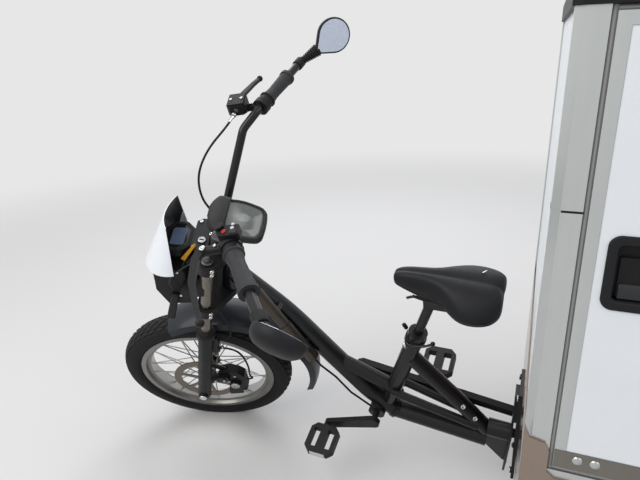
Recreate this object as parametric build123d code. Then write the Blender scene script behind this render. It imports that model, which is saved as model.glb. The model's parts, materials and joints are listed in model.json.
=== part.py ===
from build123d import *
from math import atan2, cos, degrees, hypot, radians, sin, sqrt
import os

# A leaning electric cargo trike. The driver section (frame, fork, front wheel, saddle, cranks) hinges
# on a lengthwise pivot in front of an upright box body that stands on two wheels.
# X points to the vehicle's left, Y to its rear and Z up, in millimetres.
# The driver section is drawn upright with its wheel straight ahead, y = 0 being on the steering axis
# at the height HEAD_Z, and is then steered and leaned into the pose in which it parks.

# Parked pose, in degrees
LEAN = 20.8
STEER = 18.6

# Clearances
SEAT = 0.3
RUN = 0.4
SWING = 6.0

# Steering axis and fork
HEAD_Z = 750.0
RAKE = 20.2
FORK_OFFSET = 55.0
AXLE_DROP = 544.0
FORK_HALF = 88.5
SLIDER_R = 22.0
COLLAR_R = 27.0
COLLAR_H = 24.0
SLIDER_TOP = -186.0
STANCHION_R = 15.0
CLAMP_H = 28.0
LOWER_CLAMP = -90.0
UPPER_CLAMP = 92.0
CLAMP_EYE_R = 25.0
CLAMP_WALL = 8.0
STEM_R = 14.0
HEAD_TUBE_R = 27.0

# Wheels, the same size at the front and the rear
WHEEL_R = 287.0
TYRE_W = 76.0
CROWN_R = 54.0
SHOULDER_HALF = 34.0
TYRE_H = 61.0
RIM_R = WHEEL_R - TYRE_H
RIM_W = 62.0
RIM_SEAT_R = RIM_R - 11.0
RIM_BORE_R = RIM_SEAT_R - 18.0
FLANGE_T = 3.0
SPOKES = 36
SPOKE_R = 2.0
AXLE_R = 8.0
HUB_R = 20.0
HUB_FLANGE_R = 31.0
HUB_HALF = 56.0
HUB_FLANGE_X = 30.0
HUB_MOTOR_R = 88.0
HUB_MOTOR_HALF = 40.0

# Front brake
DISC_R = 111.0
DISC_BAND = 24.0
DISC_X = 46.0
DISC_T = 4.0

# Driver frame
MAIN_TUBE_R = 28.0
REAR_TUBE_R = 27.0
SEAT_TUBE_R = 23.0
STAY_R = 22.5
SIDE_TUBE_R = 12.0
SIDE_TUBE_X = 24.0
BRACE_R = 21.0
POST_R = 12.5
BB_Y = 376.0
BB_Z = 263.0
BB_R = 25.0
BB_HALF = 40.0

# Cranks
CRANK = 170.0
CRANK_ANGLE = 25.3
CRANK_X = 64.0
CRANK_T = 15.0
SPINDLE_R = 9.0
CHAINRING_R = 62.0
CHAINRING_X = 50.0
PEDAL_X = 143.0
PEDAL_W = 96.0
PEDAL_L = 92.0
PEDAL_H = 24.0

# Lean pivot
PIVOT_Y = 730.0
PIVOT_Z = 265.0
PIVOT_DROP = 3.7
PIVOT_PIN_R = 13.0
PIVOT_TUBE_R = 25.5
PIVOT_TUBE_L = 66.0

# Box body
BOX_Y = 776.0
BOX_L = 1500.0
BOX_W = 1000.0
FLOOR_T = 20.0
WHEEL_ROOM = 26.0
FLOOR_Z = 2 * WHEEL_R + WHEEL_ROOM + FLOOR_T
INNER_H = 725.0
BOX_TOP = FLOOR_Z + INNER_H
ROOF_H = 58.0
WALL_T = 24.0
POST_W = 43.0
POST_CHAMFER = 13.0
DOOR_GAP = 8.0
DOOR_FRAME = 18.0
DOOR_SILL = 35.0
SIDE_DOOR_L = 700.0
HINGE_REACH = 6.0
BARREL_R = 5.5
LEAF_T = 4.0
LEAF_W = 21.0
HINGE_L = 60.0
SKIRT_T = 4.0
SKIRT_LOW = 250.0
SKIRT_HIGH = FLOOR_Z - 32.0
SKIRT_LEG_TOP = FLOOR_Z + 44.0
ARCH_ROOM = 45.0

# Chassis
RAIL_HALF = 300.0
RAIL_W = 50.0
RAIL_H = 60.0
AXLE_Y = 1640.0
TRACK_HALF = 400.0
BEAM_R = 28.0
HANGER_T = 10.0
CROSS_L = 50.0
BATTERY_Y = (1000.0, 1340.0)
BATTERY_HALF = 200.0
BATTERY_H = 230.0


def fork_point(along, ahead=0.0, x=0.0):
    """A point given by its way up the steering axis and its offset ahead of it."""
    y = along * sin(radians(RAKE)) - ahead * cos(radians(RAKE))
    z = HEAD_Z + along * cos(radians(RAKE)) + ahead * sin(radians(RAKE))
    return Vector(x, y, z)


STEER_UP = Vector(0, sin(radians(RAKE)), cos(radians(RAKE)))
STEER_AXIS = Axis(fork_point(0), STEER_UP)
LEAN_WAY = Vector(0, cos(radians(PIVOT_DROP)), -sin(radians(PIVOT_DROP)))
LEAN_AXIS = Axis((0, PIVOT_Y, PIVOT_Z), LEAN_WAY)
WHEEL_CENTRE = fork_point(-AXLE_DROP, FORK_OFFSET)


def posed(shape, steered):
    """The driver section's shape in the parked pose, before it is set on the floor."""
    if steered:
        shape = shape.rotate(STEER_AXIS, STEER)
    return shape.rotate(LEAN_AXIS, LEAN)


def turned(point, axis, angle):
    """A point turned about an axis."""
    return axis.position + (Vector(*point) - axis.position).rotate(axis, angle)


def posed_point(point, steered):
    """The same for a point."""
    if steered:
        point = turned(point, STEER_AXIS, STEER)
    return turned(point, LEAN_AXIS, LEAN)


def frame_lift():
    """How far the driver section is raised so that its leaned tyre just touches the floor."""
    hub = posed_point(WHEEL_CENTRE, True)
    side = posed_point(WHEEL_CENTRE + Vector(1, 0, 0), True)
    tilt = side.Z - hub.Z
    reach = (WHEEL_R - CROWN_R) * sqrt(1 - tilt * tilt) + CROWN_R
    return reach - hub.Z


LIFT = frame_lift()
PIVOT_FLOOR_Z = PIVOT_Z + LIFT


def rod(start, end, radius):
    """A round bar between two points."""
    start = Vector(*start)
    way = Vector(*end) - start
    return Solid.make_cylinder(radius, way.length, Plane(start, z_dir=way))


def bent_tube(points, radius, bends):
    """A round tube along straight runs joined by tangent arcs."""
    path = FilletPolyline(*points, radius=bends)
    return sweep(Plane(path @ 0, z_dir=path % 0) * Circle(radius), path=path)


def side_plate(outline, x, thickness):
    """A flat plate parallel to the vehicle's sides; the outline is (y, z)."""
    face = make_face(Polyline(*outline, close=True))
    return extrude(Plane.YZ.offset(x) * face, amount=thickness)


def block(x, y, z):
    """A block between a low and a high value on each axis."""
    size = (x[1] - x[0], y[1] - y[0], z[1] - z[0])
    middle = ((x[0] + x[1]) / 2, (y[0] + y[1]) / 2, (z[0] + z[1]) / 2)
    return Pos(*middle) * Box(*size)


def spun(profile):
    """A ring turned about the wheel's axle; the profile is in (x, radius)."""
    return revolve(Plane.XZ * profile, axis=Axis.X)


def mirrored(shape):
    return shape.mirror(Plane.YZ)


# Wheels


def tyre():
    bead = RIM_W / 2 - FLANGE_T - SEAT
    shoulder_r = WHEEL_R - CROWN_R + sqrt(CROWN_R**2 - SHOULDER_HALF**2)
    wall_r = (RIM_R + shoulder_r) / 2
    wall_low = RIM_R + 1.0
    edges = [
        Line((-bead, RIM_SEAT_R), (bead, RIM_SEAT_R)),
        Line((bead, RIM_SEAT_R), (bead, wall_low)),
        ThreePointArc((bead, wall_low), (TYRE_W / 2, wall_r), (SHOULDER_HALF, shoulder_r)),
        ThreePointArc((SHOULDER_HALF, shoulder_r), (0, WHEEL_R), (-SHOULDER_HALF, shoulder_r)),
        ThreePointArc((-SHOULDER_HALF, shoulder_r), (-TYRE_W / 2, wall_r), (-bead, wall_low)),
        Line((-bead, wall_low), (-bead, RIM_SEAT_R)),
    ]
    return spun(make_face(edges))


def rim():
    edge = RIM_W / 2
    bead = edge - FLANGE_T
    well = 14.0
    half = [
        (edge, RIM_R),
        (bead, RIM_R),
        (bead, RIM_SEAT_R),
        (well + 3, RIM_SEAT_R - 2),
        (well, RIM_BORE_R + 5),
    ]
    back = [(well + 3, RIM_BORE_R), (well + 6, RIM_SEAT_R - 8), (edge, RIM_SEAT_R - 4)]
    right = half + [(-x, r) for x, r in reversed(half)]
    left = [(-x, r) for x, r in reversed(back)] + back
    return spun(make_face(Polyline(*right, *left, close=True)))


def spokes(flange_x, flange_r, sweep_angle):
    """Crossed spokes from both hub flanges to the rim's inner face."""
    bars = []
    step = 360.0 / SPOKES
    for i in range(SPOKES):
        side = 1 if i % 2 else -1
        turn = 1 if i % 4 < 2 else -1
        start_angle = radians(i * step)
        end_angle = radians(i * step + turn * sweep_angle)
        start_x = side * (flange_x + turn * (SPOKE_R + 0.5))
        end_r = RIM_BORE_R + 1.0
        start = (start_x, flange_r * cos(start_angle), flange_r * sin(start_angle))
        end = (side * 6.0, end_r * cos(end_angle), end_r * sin(end_angle))
        way = Vector(*end) - Vector(*start)
        section = Plane(start, z_dir=way) * RegularPolygon(SPOKE_R, 6)
        bars.append(extrude(section, amount=way.length))
    return bars


def front_hub():
    flange_t = 7.0
    core = rod((-HUB_HALF, 0, 0), (HUB_HALF, 0, 0), HUB_R)
    for side in (-1, 1):
        x = side * HUB_FLANGE_X
        core += rod((x - flange_t / 2, 0, 0), (x + flange_t / 2, 0, 0), HUB_FLANGE_R)
    core += spokes(HUB_FLANGE_X, HUB_FLANGE_R - 5.0, 50.0)
    return core - rod((-HUB_HALF, 0, 0), (HUB_HALF, 0, 0), AXLE_R + RUN)


def rear_hub():
    core = rod((-HUB_MOTOR_HALF, 0, 0), (HUB_MOTOR_HALF, 0, 0), HUB_MOTOR_R)
    rounded = chamfer(core.edges().filter_by(GeomType.CIRCLE), 9.0)
    drum = rounded + spokes(HUB_MOTOR_HALF - 16.0, HUB_MOTOR_R - 4.0, 24.0)
    return drum - rod((-HUB_MOTOR_HALF, 0, 0), (HUB_MOTOR_HALF, 0, 0), AXLE_R + RUN)


def brake_disc():
    inner = DISC_R - DISC_BAND
    hub_bore = HUB_R + SEAT
    start = HUB_FLANGE_X + 2 * SPOKE_R + 1.0
    band = rod((DISC_X, 0, 0), (DISC_X + DISC_T, 0, 0), DISC_R)
    band -= rod((DISC_X, 0, 0), (DISC_X + DISC_T, 0, 0), inner)
    carrier = rod((start, 0, 0), (DISC_X + DISC_T, 0, 0), HUB_FLANGE_R)
    arm = block((DISC_X, DISC_X + DISC_T), (-6, 6), (HUB_FLANGE_R - 4, inner + 2))
    arms = [arm.rotate(Axis.X, i * 60.0) for i in range(6)]
    return band + carrier + arms - rod((start, 0, 0), (DISC_X + DISC_T, 0, 0), hub_bore)


# Fork and cockpit, drawn straight

# The rear faces of the bracket on the left fork leg, where a hose and a cable end
HOSE_TOP_Y = -112.0
CABLE_LOW_Y = -100.0


def slider_core(side, clearance=0.0):
    """A fork leg's outer tube, as a solid that other pieces are cut with."""
    x = side * FORK_HALF
    low = fork_point(-AXLE_DROP - SLIDER_R, FORK_OFFSET, x)
    return rod(low, fork_point(SLIDER_TOP - COLLAR_H, FORK_OFFSET, x), SLIDER_R + clearance)


def fork_legs():
    """The outer tubes with their collars, the axle, and a bracket for hose and cable."""
    legs = []
    for side in (-1, 1):
        x = side * FORK_HALF
        top = fork_point(SLIDER_TOP, FORK_OFFSET, x)
        collar = fork_point(SLIDER_TOP - COLLAR_H, FORK_OFFSET, x)
        foot = fork_point(-AXLE_DROP, FORK_OFFSET, x)
        legs += [slider_core(side), rod(collar, top, COLLAR_R)]
        legs.append(rod(foot - Vector(SLIDER_R + 3, 0, 0), foot + Vector(SLIDER_R + 3, 0, 0), 15.0))
    reach = FORK_HALF + SLIDER_R + 8.0
    axle = rod(WHEEL_CENTRE - Vector(reach, 0, 0), WHEEL_CENTRE + Vector(reach, 0, 0), AXLE_R)
    outline = [(-150, 478), (HOSE_TOP_Y, 478), (HOSE_TOP_Y, 505)]
    outline += [(CABLE_LOW_Y, 520), (CABLE_LOW_Y, 546), (-128, 546)]
    return axle + legs + side_plate(outline, 74, 12)


def stanchions():
    tubes = []
    for side in (-1, 1):
        x = side * FORK_HALF
        start = fork_point(SLIDER_TOP, FORK_OFFSET, x)
        end = fork_point(UPPER_CLAMP + CLAMP_H + 4, FORK_OFFSET, x)
        tubes.append(rod(start, end, STANCHION_R))
    return Compound(tubes)


def hull_face(circles):
    """The outline of a taut band round circles, each (x, y, radius)."""
    return make_hull([(Pos(x, y) * Circle(radius)).edge() for x, y, radius in circles])


def clamp_plate(along):
    """A plate across the fork with an eye round each inner tube and one round the stem."""
    eyes = [(side * FORK_HALF, -FORK_OFFSET, CLAMP_EYE_R) for side in (-1, 1)]
    face = hull_face(eyes + [(0, 0, STEM_R + CLAMP_WALL)])
    for x, y, _ in eyes:
        face -= Pos(x, y) * Circle(STANCHION_R + SEAT)
    plane = Plane(fork_point(along), x_dir=(1, 0, 0), z_dir=STEER_UP)
    return extrude(plane * face, amount=CLAMP_H)


# Left half of the handlebar, from its clamp outwards: x, y, z
BAR_ROUTE = [
    (62, 12, 898),
    (190, 98, 1070),
    (228, 137, 1093),
    (443, 237, 1099),
]
BAR_BENDS = [45, 40, 60]
BAR_R = 11.0
BAR_CLAMP_HALF = 34.0
GRIP_START = 50.0
GRIP_L = 100.0
MIRROR_AT = 218.0
MIRROR_CLAMP_R = 15.0
MIRROR_L = 112.0
MIRROR_W = 98.0
MIRROR_T = 26.0
MIRROR_TIP_R = 16.0
MIRROR_NECK = 44.0


def fork_clamps():
    stem = rod(fork_point(LOWER_CLAMP), fork_point(UPPER_CLAMP + CLAMP_H), STEM_R)
    clamps = clamp_plate(LOWER_CLAMP) + clamp_plate(UPPER_CLAMP) + stem
    y, z = BAR_ROUTE[0][1:]
    half = BAR_CLAMP_HALF
    riser = block((-half, half), (y - BAR_R - 8, y + BAR_R + 11), (z - 44, z + BAR_R + 7))
    riser = fillet(riser.edges().filter_by(Axis.X).group_by(Axis.Z)[-1], 12.0)
    bar = rod((-half - 1, y, z), (half + 1, y, z), BAR_R + SEAT)
    return clamps + riser - bar


def handlebar():
    right = [(-x, y, z) for x, y, z in reversed(BAR_ROUTE)]
    return bent_tube(right + BAR_ROUTE, BAR_R, BAR_BENDS[::-1] + BAR_BENDS)


BAR_END = (Vector(*BAR_ROUTE[-1]) - Vector(*BAR_ROUTE[-2])).length


def bar_point(distance):
    """A point on the bar's left end, counted outwards from its last bend."""
    bend = Vector(*BAR_ROUTE[-2])
    way = (Vector(*BAR_ROUTE[-1]) - bend).normalized()
    return bend + way * distance


def on_bar(start, end, radius):
    """A sleeve round the bar's left end."""
    sleeve = rod(bar_point(start), bar_point(end), radius)
    return sleeve - rod(bar_point(start - 1), bar_point(end + 1), BAR_R + SEAT)


def both_sides(left):
    return Compound([left, mirrored(left)])


def grips():
    """Waisted rubber grips with a flange at the inner end and a ring at the outer one."""
    bore = BAR_R + SEAT
    end = GRIP_L + 10.0
    # way along the bar, radius
    outline = [(0, bore), (0, 22), (3, 22), (5, 18.5), (30, 16), (66, 17), (GRIP_L, 18.5)]
    outline += [(GRIP_L, 20.5), (end, 20.5), (end, bore)]
    start = bar_point(GRIP_START)
    way = bar_point(1) - bar_point(0)
    across = (Vector(0, 0, 1) - way * way.Z).normalized()
    section = make_face(Polyline(*[(radius, reach) for reach, radius in outline], close=True))
    plane = Plane(start, x_dir=across, z_dir=across.cross(way))
    return both_sides(revolve(plane * section, axis=Axis(start, way)))


# The left brake lever, from its perch over its foremost point to its ball end
LEVER_ROUTE = [(252, 92, 1090), (330, 72, 1090), (417, 115, 1080)]
LEVER_R = 5.0
TANK_INNER_X = 214.0


def lever_blade():
    """A curved blade that narrows towards its ball end, lying in front of the grip."""
    start, middle, end = [Vector(*point) for point in LEVER_ROUTE]
    way = (end - start).normalized()
    front = (middle - (start + end) * 0.5).normalized()
    plane = Plane(start, x_dir=way, z_dir=way.cross(front))
    length = (end - start).length
    # way along the blade, distance of its front and back edges ahead of the straight line
    edges = [(-8, 14, -9), (20, 24, 8), (length * 0.45, 27, 14), (length * 0.8, 14, 4), (length, 4, -5)]
    outline = [(x, front_edge) for x, front_edge, _ in edges]
    outline += [(x, back_edge) for x, _, back_edge in reversed(edges)]
    blade = extrude(plane * make_face(Polyline(*outline, close=True)), amount=LEVER_R, both=True)
    return blade + Pos(*end) * Sphere(LEVER_R + 3.5)


def controls():
    """The left switch pod with its brake perch and lever."""
    pod = rod(bar_point(14), bar_point(32), 22.0) + rod(bar_point(32), bar_point(48), 19.0)
    perch = rod(bar_point(26), Vector(*LEVER_ROUTE[0]), 9.5)
    bar = rod(bar_point(-20), bar_point(60), BAR_R + SEAT)
    riser = rod(BAR_ROUTE[1], BAR_ROUTE[2], BAR_R + 3)
    return pod + perch + lever_blade() - bar - riser


def left_controls():
    """The left pod carries a domed horn button and a row of switches."""
    switch = block((222, 250), (128, 172), (1108, 1126))
    switch = fillet(switch.edges().filter_by(Axis.Z), 6.0)
    button = rod((228, 132, 1112), (228, 130, 1134), 10.0)
    bar = rod(bar_point(-20), bar_point(60), BAR_R + SEAT)
    return controls() + (switch - bar) + button


def right_controls():
    """The right side has the brake's oil tank on its perch."""
    tank = block((-270, -TANK_INNER_X), (64, 112), (1096, 1124))
    tank = chamfer(tank.edges().filter_by(Axis.Z), 8.0)
    lid = block((-267, -TANK_INNER_X - 3), (67, 109), (1124, 1128))
    return mirrored(controls()) + tank + lid


def mirror_body(plane):
    """A teardrop housing with a domed back; the plane's x runs from the stalk to its far end."""
    far = MIRROR_NECK + MIRROR_L - MIRROR_W / 2
    tip = MIRROR_NECK + MIRROR_TIP_R
    sections = []
    # depth behind the glass side as a share of the whole, how far the outline is drawn in
    for depth, inset in ((0, 0), (0.4, 1), (0.75, 6), (1, 15)):
        outline = hull_face([(tip, 0, MIRROR_TIP_R - inset), (far, 0, MIRROR_W / 2 - inset)])
        sections.append(plane.offset(-depth * MIRROR_T) * outline)
    housing = loft(sections, ruled=True)
    glass = hull_face([(tip, 0, MIRROR_TIP_R - 5), (far, 0, MIRROR_W / 2 - 5)])
    housing -= extrude(plane * glass, amount=-2.0)
    middle = plane.origin - plane.z_dir * (MIRROR_T / 2)
    return housing + rod(middle + plane.x_dir * 20, middle + plane.x_dir * (MIRROR_NECK + 12), 8.0)


# Each mirror: sign of x, way of the long axis from the bar's end, way that the glass faces
MIRROR_TABLE = [
    (1, (0.682, 0.443, 0.583), (-0.728, 0.488, 0.480)),
    (-1, (-0.534, 0.711, 0.467), (0.847, 0.465, 0.260)),
]


def mirrors():
    housings = []
    for sign, long_way, glass_way in MIRROR_TABLE:
        clamp = rod(bar_point(MIRROR_AT - 4), bar_point(MIRROR_AT + 22), MIRROR_CLAMP_R)
        bore = rod(bar_point(MIRROR_AT - 20), bar_point(BAR_END + SEAT), BAR_R + SEAT)
        middle = bar_point(MIRROR_AT + 12)
        if sign < 0:
            clamp = mirrored(clamp)
            bore = mirrored(bore)
            middle = Vector(-middle.X, middle.Y, middle.Z)
        long_way = Vector(*long_way).normalized()
        glass_way = (Vector(*glass_way) - long_way * long_way.dot(Vector(*glass_way))).normalized()
        base = middle + glass_way * (MIRROR_T / 2)
        housing = mirror_body(Plane(base, x_dir=long_way, z_dir=glass_way))
        knuckle = rod(middle, middle + long_way * 27, 11.0)
        housings.append(clamp + knuckle - bore + housing)
    return Compound(housings)


# Mudguard, turned about a centre behind and above the wheel's
GUARD_R = WHEEL_R + 11.0
GUARD_T = 3.0
GUARD_HALF = 58.0
GUARD_EDGE_IN = 6.0
GUARD_CROWN = 12.0
GUARD_SKIRT = 32.0
GUARD_BACK = 94.0
GUARD_UP = 30.0
GUARD_FRONT_ANGLE = 114.0
GUARD_REAR_ANGLE = -27.0
GUARD_LUG = -220.0


def mudguard():
    """A crowned strip over the tyre, with a lug to each fork leg."""
    low = GUARD_R - GUARD_SKIRT
    crown = GUARD_R - GUARD_CROWN
    edge = GUARD_HALF - GUARD_EDGE_IN
    inner_edge = edge - GUARD_T
    inner_crown = crown - GUARD_T
    edges = [
        Line((-GUARD_HALF, low), (-edge, crown)),
        ThreePointArc((-edge, crown), (0, GUARD_R), (edge, crown)),
        Line((edge, crown), (GUARD_HALF, low)),
        Line((GUARD_HALF, low), (GUARD_HALF - GUARD_T, low)),
        Line((GUARD_HALF - GUARD_T, low), (inner_edge, inner_crown)),
        ThreePointArc((inner_edge, inner_crown), (0, GUARD_R - GUARD_T), (-inner_edge, inner_crown)),
        Line((-inner_edge, inner_crown), (-GUARD_HALF + GUARD_T, low)),
        Line((-GUARD_HALF + GUARD_T, low), (-GUARD_HALF, low)),
    ]
    turn = GUARD_FRONT_ANGLE - GUARD_REAR_ANGLE
    strip = revolve(Plane.XZ * make_face(edges), axis=Axis.X, revolution_arc=turn)
    strip = strip.rotate(Axis.X, GUARD_REAR_ANGLE - 90.0)
    guard = Pos(*WHEEL_CENTRE) * Pos(0, GUARD_BACK, GUARD_UP) * strip
    for side in (-1, 1):
        seat = fork_point(GUARD_LUG, FORK_OFFSET, side * FORK_HALF)
        inside = Vector(side * (GUARD_HALF - GUARD_EDGE_IN), seat.Y, seat.Z)
        guard += rod(inside, seat, 9.0) - slider_core(side, SEAT)
    return guard


FAIRING_LOW = 846.0
FAIRING_HIGH = 985.0
FAIRING_T = 3.0


def fairing_core(inset):
    """The fairing's outer form, drawn in by a distance."""
    sections = []
    # z, y of the nose, y of the cheeks' rear edge, half width
    for z, nose, rear, half in ((FAIRING_LOW, -212, -112, 92), (FAIRING_HIGH, -104, -84, 62)):
        outer = half - inset
        arc = ThreePointArc((outer, rear), (0, nose + inset), (-outer, rear))
        sections.append(Pos(0, 0, z) * make_face([arc, Line((-outer, rear), (outer, rear))]))
    return loft(sections)


def fairing():
    """A curved white screen in front of the lamp and the display."""
    return fairing_core(0.0) - fairing_core(FAIRING_T)


LAMP_Z = 776.0
LAMP_R = 46.0
LAMP_HALF = 70.0


def stanchion_core(side, clearance):
    low = fork_point(SLIDER_TOP, FORK_OFFSET, side * FORK_HALF)
    high = fork_point(UPPER_CLAMP, FORK_OFFSET, side * FORK_HALF)
    return rod(low, high, STANCHION_R + clearance)


def lamp_housing():
    """The black lamp bucket under the fairing, with ears to the fork tubes and arms to the fairing."""
    wall = 4.0
    top = FAIRING_LOW - 2.0
    outline = [(-176, top), (-196, LAMP_Z), (-184, 712), (-112, 706), (-96, 836), (-100, top)]
    shell = side_plate(outline, -LAMP_HALF, 2 * LAMP_HALF)
    hollow = [(-170, top - 6), (-190, LAMP_Z), (-178, 718), (-100, 712), (-84, 836), (-90, top - 6)]
    shell -= side_plate(hollow, -LAMP_HALF + wall, 2 * (LAMP_HALF - wall))
    shell += rod((0, -190, LAMP_Z), (0, -140, LAMP_Z), LAMP_R + wall)
    arms = block((-95, 95), (-140, -124), (FAIRING_LOW, FAIRING_LOW + 8)) & fairing_core(FAIRING_T + SEAT)
    arms += block((-LAMP_HALF, LAMP_HALF), (-140, -124), (top - 3, FAIRING_LOW + 2))
    for side in (-1, 1):
        low, high = sorted((side * (LAMP_HALF - wall), side * (FORK_HALF + STANCHION_R)))
        shell += block((low, high), (-112, -46), (770, 796)) - stanchion_core(side, SEAT)
    lens = rod((0, -230, LAMP_Z), (0, -150, LAMP_Z), LAMP_R + SEAT)
    return shell + arms - lens


def headlamp():
    lens = rod((0, -204, LAMP_Z), (0, -150 - SEAT, LAMP_Z), LAMP_R)
    return fillet(lens.faces().sort_by(Axis.Y)[0].edges(), 8.0)


DISPLAY_TILT = -12.0
PLATE_T = 4.0


def display():
    """A tilted octagonal case with a raised rim, on a stem from the upper clamp."""
    case = chamfer(Box(104, 76, 22).edges().filter_by(Axis.Z), 22.0)
    screen = chamfer((Pos(0, 0, 11) * Box(84, 56, 4)).edges().filter_by(Axis.Z), 17.0)
    case = Pos(0, -102, 889) * Rot(DISPLAY_TILT, 0, 0) * (case - screen)
    # From the front face of the upper clamp to the underside of the case
    reach = FORK_OFFSET + CLAMP_EYE_R + SEAT
    ends = [fork_point(UPPER_CLAMP + up, reach) for up in (6, 14)]
    outline = [(end.Y, end.Z) for end in ends] + [(-96, 886), (-112, 886), (-112, 872)]
    return case + side_plate(outline, -14, 28)


def instrument_plate():
    """The plate on the upper clamp, with the raised key lock on its left."""
    rear = -FORK_OFFSET - 4
    front = rear - 46
    outline = [(-58, front + 14), (-46, front), (46, front), (58, front + 14), (58, rear), (-58, rear)]
    top = Plane(fork_point(UPPER_CLAMP + CLAMP_H), x_dir=(1, 0, 0), z_dir=STEER_UP)
    plate = extrude(top * make_face(Polyline(*outline, close=True)), amount=PLATE_T)
    lock = extrude(top * (Pos(32, rear - 20) * RectangleRounded(46, 36, 7)), amount=14.0)
    barrel = extrude(top * (Pos(32, rear - 20) * Circle(10.5)), amount=19.0)
    return plate + lock + barrel


BAG_L = 128.0
BAG_W = 92.0
BAG_T = 44.0


def phone_bag():
    bag = Box(BAG_W, BAG_L, BAG_T)
    bag = chamfer(bag.edges().filter_by(Axis.Z), 14.0)
    return Pos(0, 72, 940) * Rot(-28, 0, 0) * bag


def caliper():
    """A brake caliper that straddles the disc behind the left leg, with its arm from the slider."""
    outline = [
        (-178, 318),
        (-142, 326),
        (-112, 312),
        (-96, 288),
        (-104, 214),
        (-130, 184),
        (-176, 182),
        (-172, 212),
        (-150, 250),
        (-158, 290),
    ]
    middle = DISC_X + DISC_T / 2
    body = side_plate(outline, middle - 14, 32)
    body += rod((middle, -137, 250), (middle + 26, -137, 250), 20.0)
    body += block((58, 78), (-216, -145), (285, 310))
    y, z = WHEEL_CENTRE.Y, WHEEL_CENTRE.Z
    slot = rod((DISC_X - 3, y, z), (DISC_X + DISC_T + 3, y, z), DISC_R + 5)
    return body - slot - slider_core(1, SEAT)


# Hoses and cables: held all the way, straight runs with arcs between them


# The gap at a cord's cut ends
CORD_GAP = 2.0


def cord(points, radius, bend):
    """A hose through points, with the same arc at each bend."""
    return bent_tube(points, radius, [bend] * (len(points) - 2))


def brake_hoses():
    """The hose from the oil tank to the upper clamp, the caliper's hose and a thin cable."""
    eye = fork_point(UPPER_CLAMP + CLAMP_H + CORD_GAP, 52.6, -60)
    lever = [(-TANK_INNER_X + CORD_GAP, 84, 1104), (-172, 62, 1096), (-120, 4, 1050), (-80, -24, 1000)]
    lever += [(-60, -20, 940), (eye.X, eye.Y - 2, eye.Z + 20), (eye.X, eye.Y, eye.Z)]
    brake = [(80, HOSE_TOP_Y + CORD_GAP, 491), (80, -80, 482), (80, -52, 432), (78, -54, 370), (68, -76, 300)]
    brake += [(54, -74, 250), (50, -98, 250)]
    foot = fork_point(LOWER_CLAMP - CORD_GAP, 26.6, 78)
    thin = [(foot.X, foot.Y, foot.Z), (78, -50, 640), (80, -46, 600), (80, -54, 556), (80, -72, 533)]
    thin += [(80, CABLE_LOW_Y + CORD_GAP, 533)]
    return Compound([cord(lever, 3.0, 14.0), cord(brake, 3.0, 10.0), cord(thin, 2.2, 10.0)])


# Driver frame, drawn upright

SEAT_TUBE_FOOT = (0, 410, 300)
SEAT_TOP_Y = 508.0
SEAT_TOP_Z = 610.0


MAIN_ROUTE = [(0, 2, 749), (0, 141, 614), (0, 350, 318), (0, 424, 252)]
MAIN_BENDS = [600, 200]


def side_tube(side, clearance=0.0):
    """A slim tube on each side from the seat tube's foot to the rear tube."""
    x = side * SIDE_TUBE_X
    return rod((x, 426, 372), (x * 0.7, 668, 282), SIDE_TUBE_R + clearance)


def driver_frame():
    """The welded frame: head tube, main tube, rear tubes, seat tube, stay and pivot housing."""
    head = rod(fork_point(LOWER_CLAMP + CLAMP_H + SWING), fork_point(UPPER_CLAMP - SWING), HEAD_TUBE_R)
    main = bent_tube(MAIN_ROUTE, MAIN_TUBE_R, MAIN_BENDS)
    ring = rod((0, 419, 256), (0, 429, 249), MAIN_TUBE_R + 3)
    rear = rod((0, 422, 251), (0, 692, 212), REAR_TUBE_R)
    shell = rod((-BB_HALF, BB_Y, BB_Z), (BB_HALF, BB_Y, BB_Z), BB_R)
    brace = rod((0, 276, 436), (0, 440, 356), BRACE_R)
    seat_tube = rod(SEAT_TUBE_FOOT, (0, SEAT_TOP_Y, SEAT_TOP_Z), SEAT_TUBE_R)
    stay = bent_tube([(0, 488, 522), (0, 606, 373), (0, 692, 256)], STAY_R, [600])
    pivot = Vector(0, PIVOT_Y, PIVOT_Z)
    housing = rod(pivot - LEAN_WAY * 36, pivot + LEAN_WAY * 30, PIVOT_TUBE_R)
    gusset = side_plate([(670, 205), (690, 222), (752, 246), (752, 112), (740, 112)], -4, 8)
    plate = block((-34, 34), (PIVOT_Y + 24, PIVOT_Y + 30), (108, 292))
    plate = plate.rotate(Axis((0, PIVOT_Y, PIVOT_Z), (1, 0, 0)), -PIVOT_DROP)
    frame = main + [head, ring, rear, shell, brace, seat_tube, stay, housing, gusset, plate]
    frame += [side_tube(-1), side_tube(1)]
    stem_bore = rod(fork_point(LOWER_CLAMP), fork_point(UPPER_CLAMP), STEM_R + RUN)
    pin_bore = rod(pivot - LEAN_WAY * 24, pivot + LEAN_WAY * 60, PIVOT_PIN_R + RUN)
    spindle_bore = rod((-BB_HALF - 1, BB_Y, BB_Z), (BB_HALF + 1, BB_Y, BB_Z), SPINDLE_R + RUN)
    return frame - stem_bore - pin_bore - spindle_bore


SADDLE_LOW = 772.0


def seat_post():
    start = Vector(0, SEAT_TOP_Y, SEAT_TOP_Z)
    way = (start - Vector(*SEAT_TUBE_FOOT)).normalized()
    top = start + way * 152
    collar = rod(start, start + way * 18, SEAT_TUBE_R + 2)
    head = block((-22, 22), (top.Y - 17, top.Y + 36), (top.Z - 12, SADDLE_LOW - SEAT))
    return rod(start, top, POST_R) + collar + head


# The saddle's sections: y, half width, low z, high z
SADDLE_TABLE = [
    (474, 16, 812, 836),
    (500, 24, 798, 848),
    (536, 28, SADDLE_LOW, 851),
    (596, 42, SADDLE_LOW, 851),
    (655, 78, 776, 848),
    (700, 92, 782, 846),
    (728, 84, 790, 842),
    (742, 60, 802, 834),
]


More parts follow.
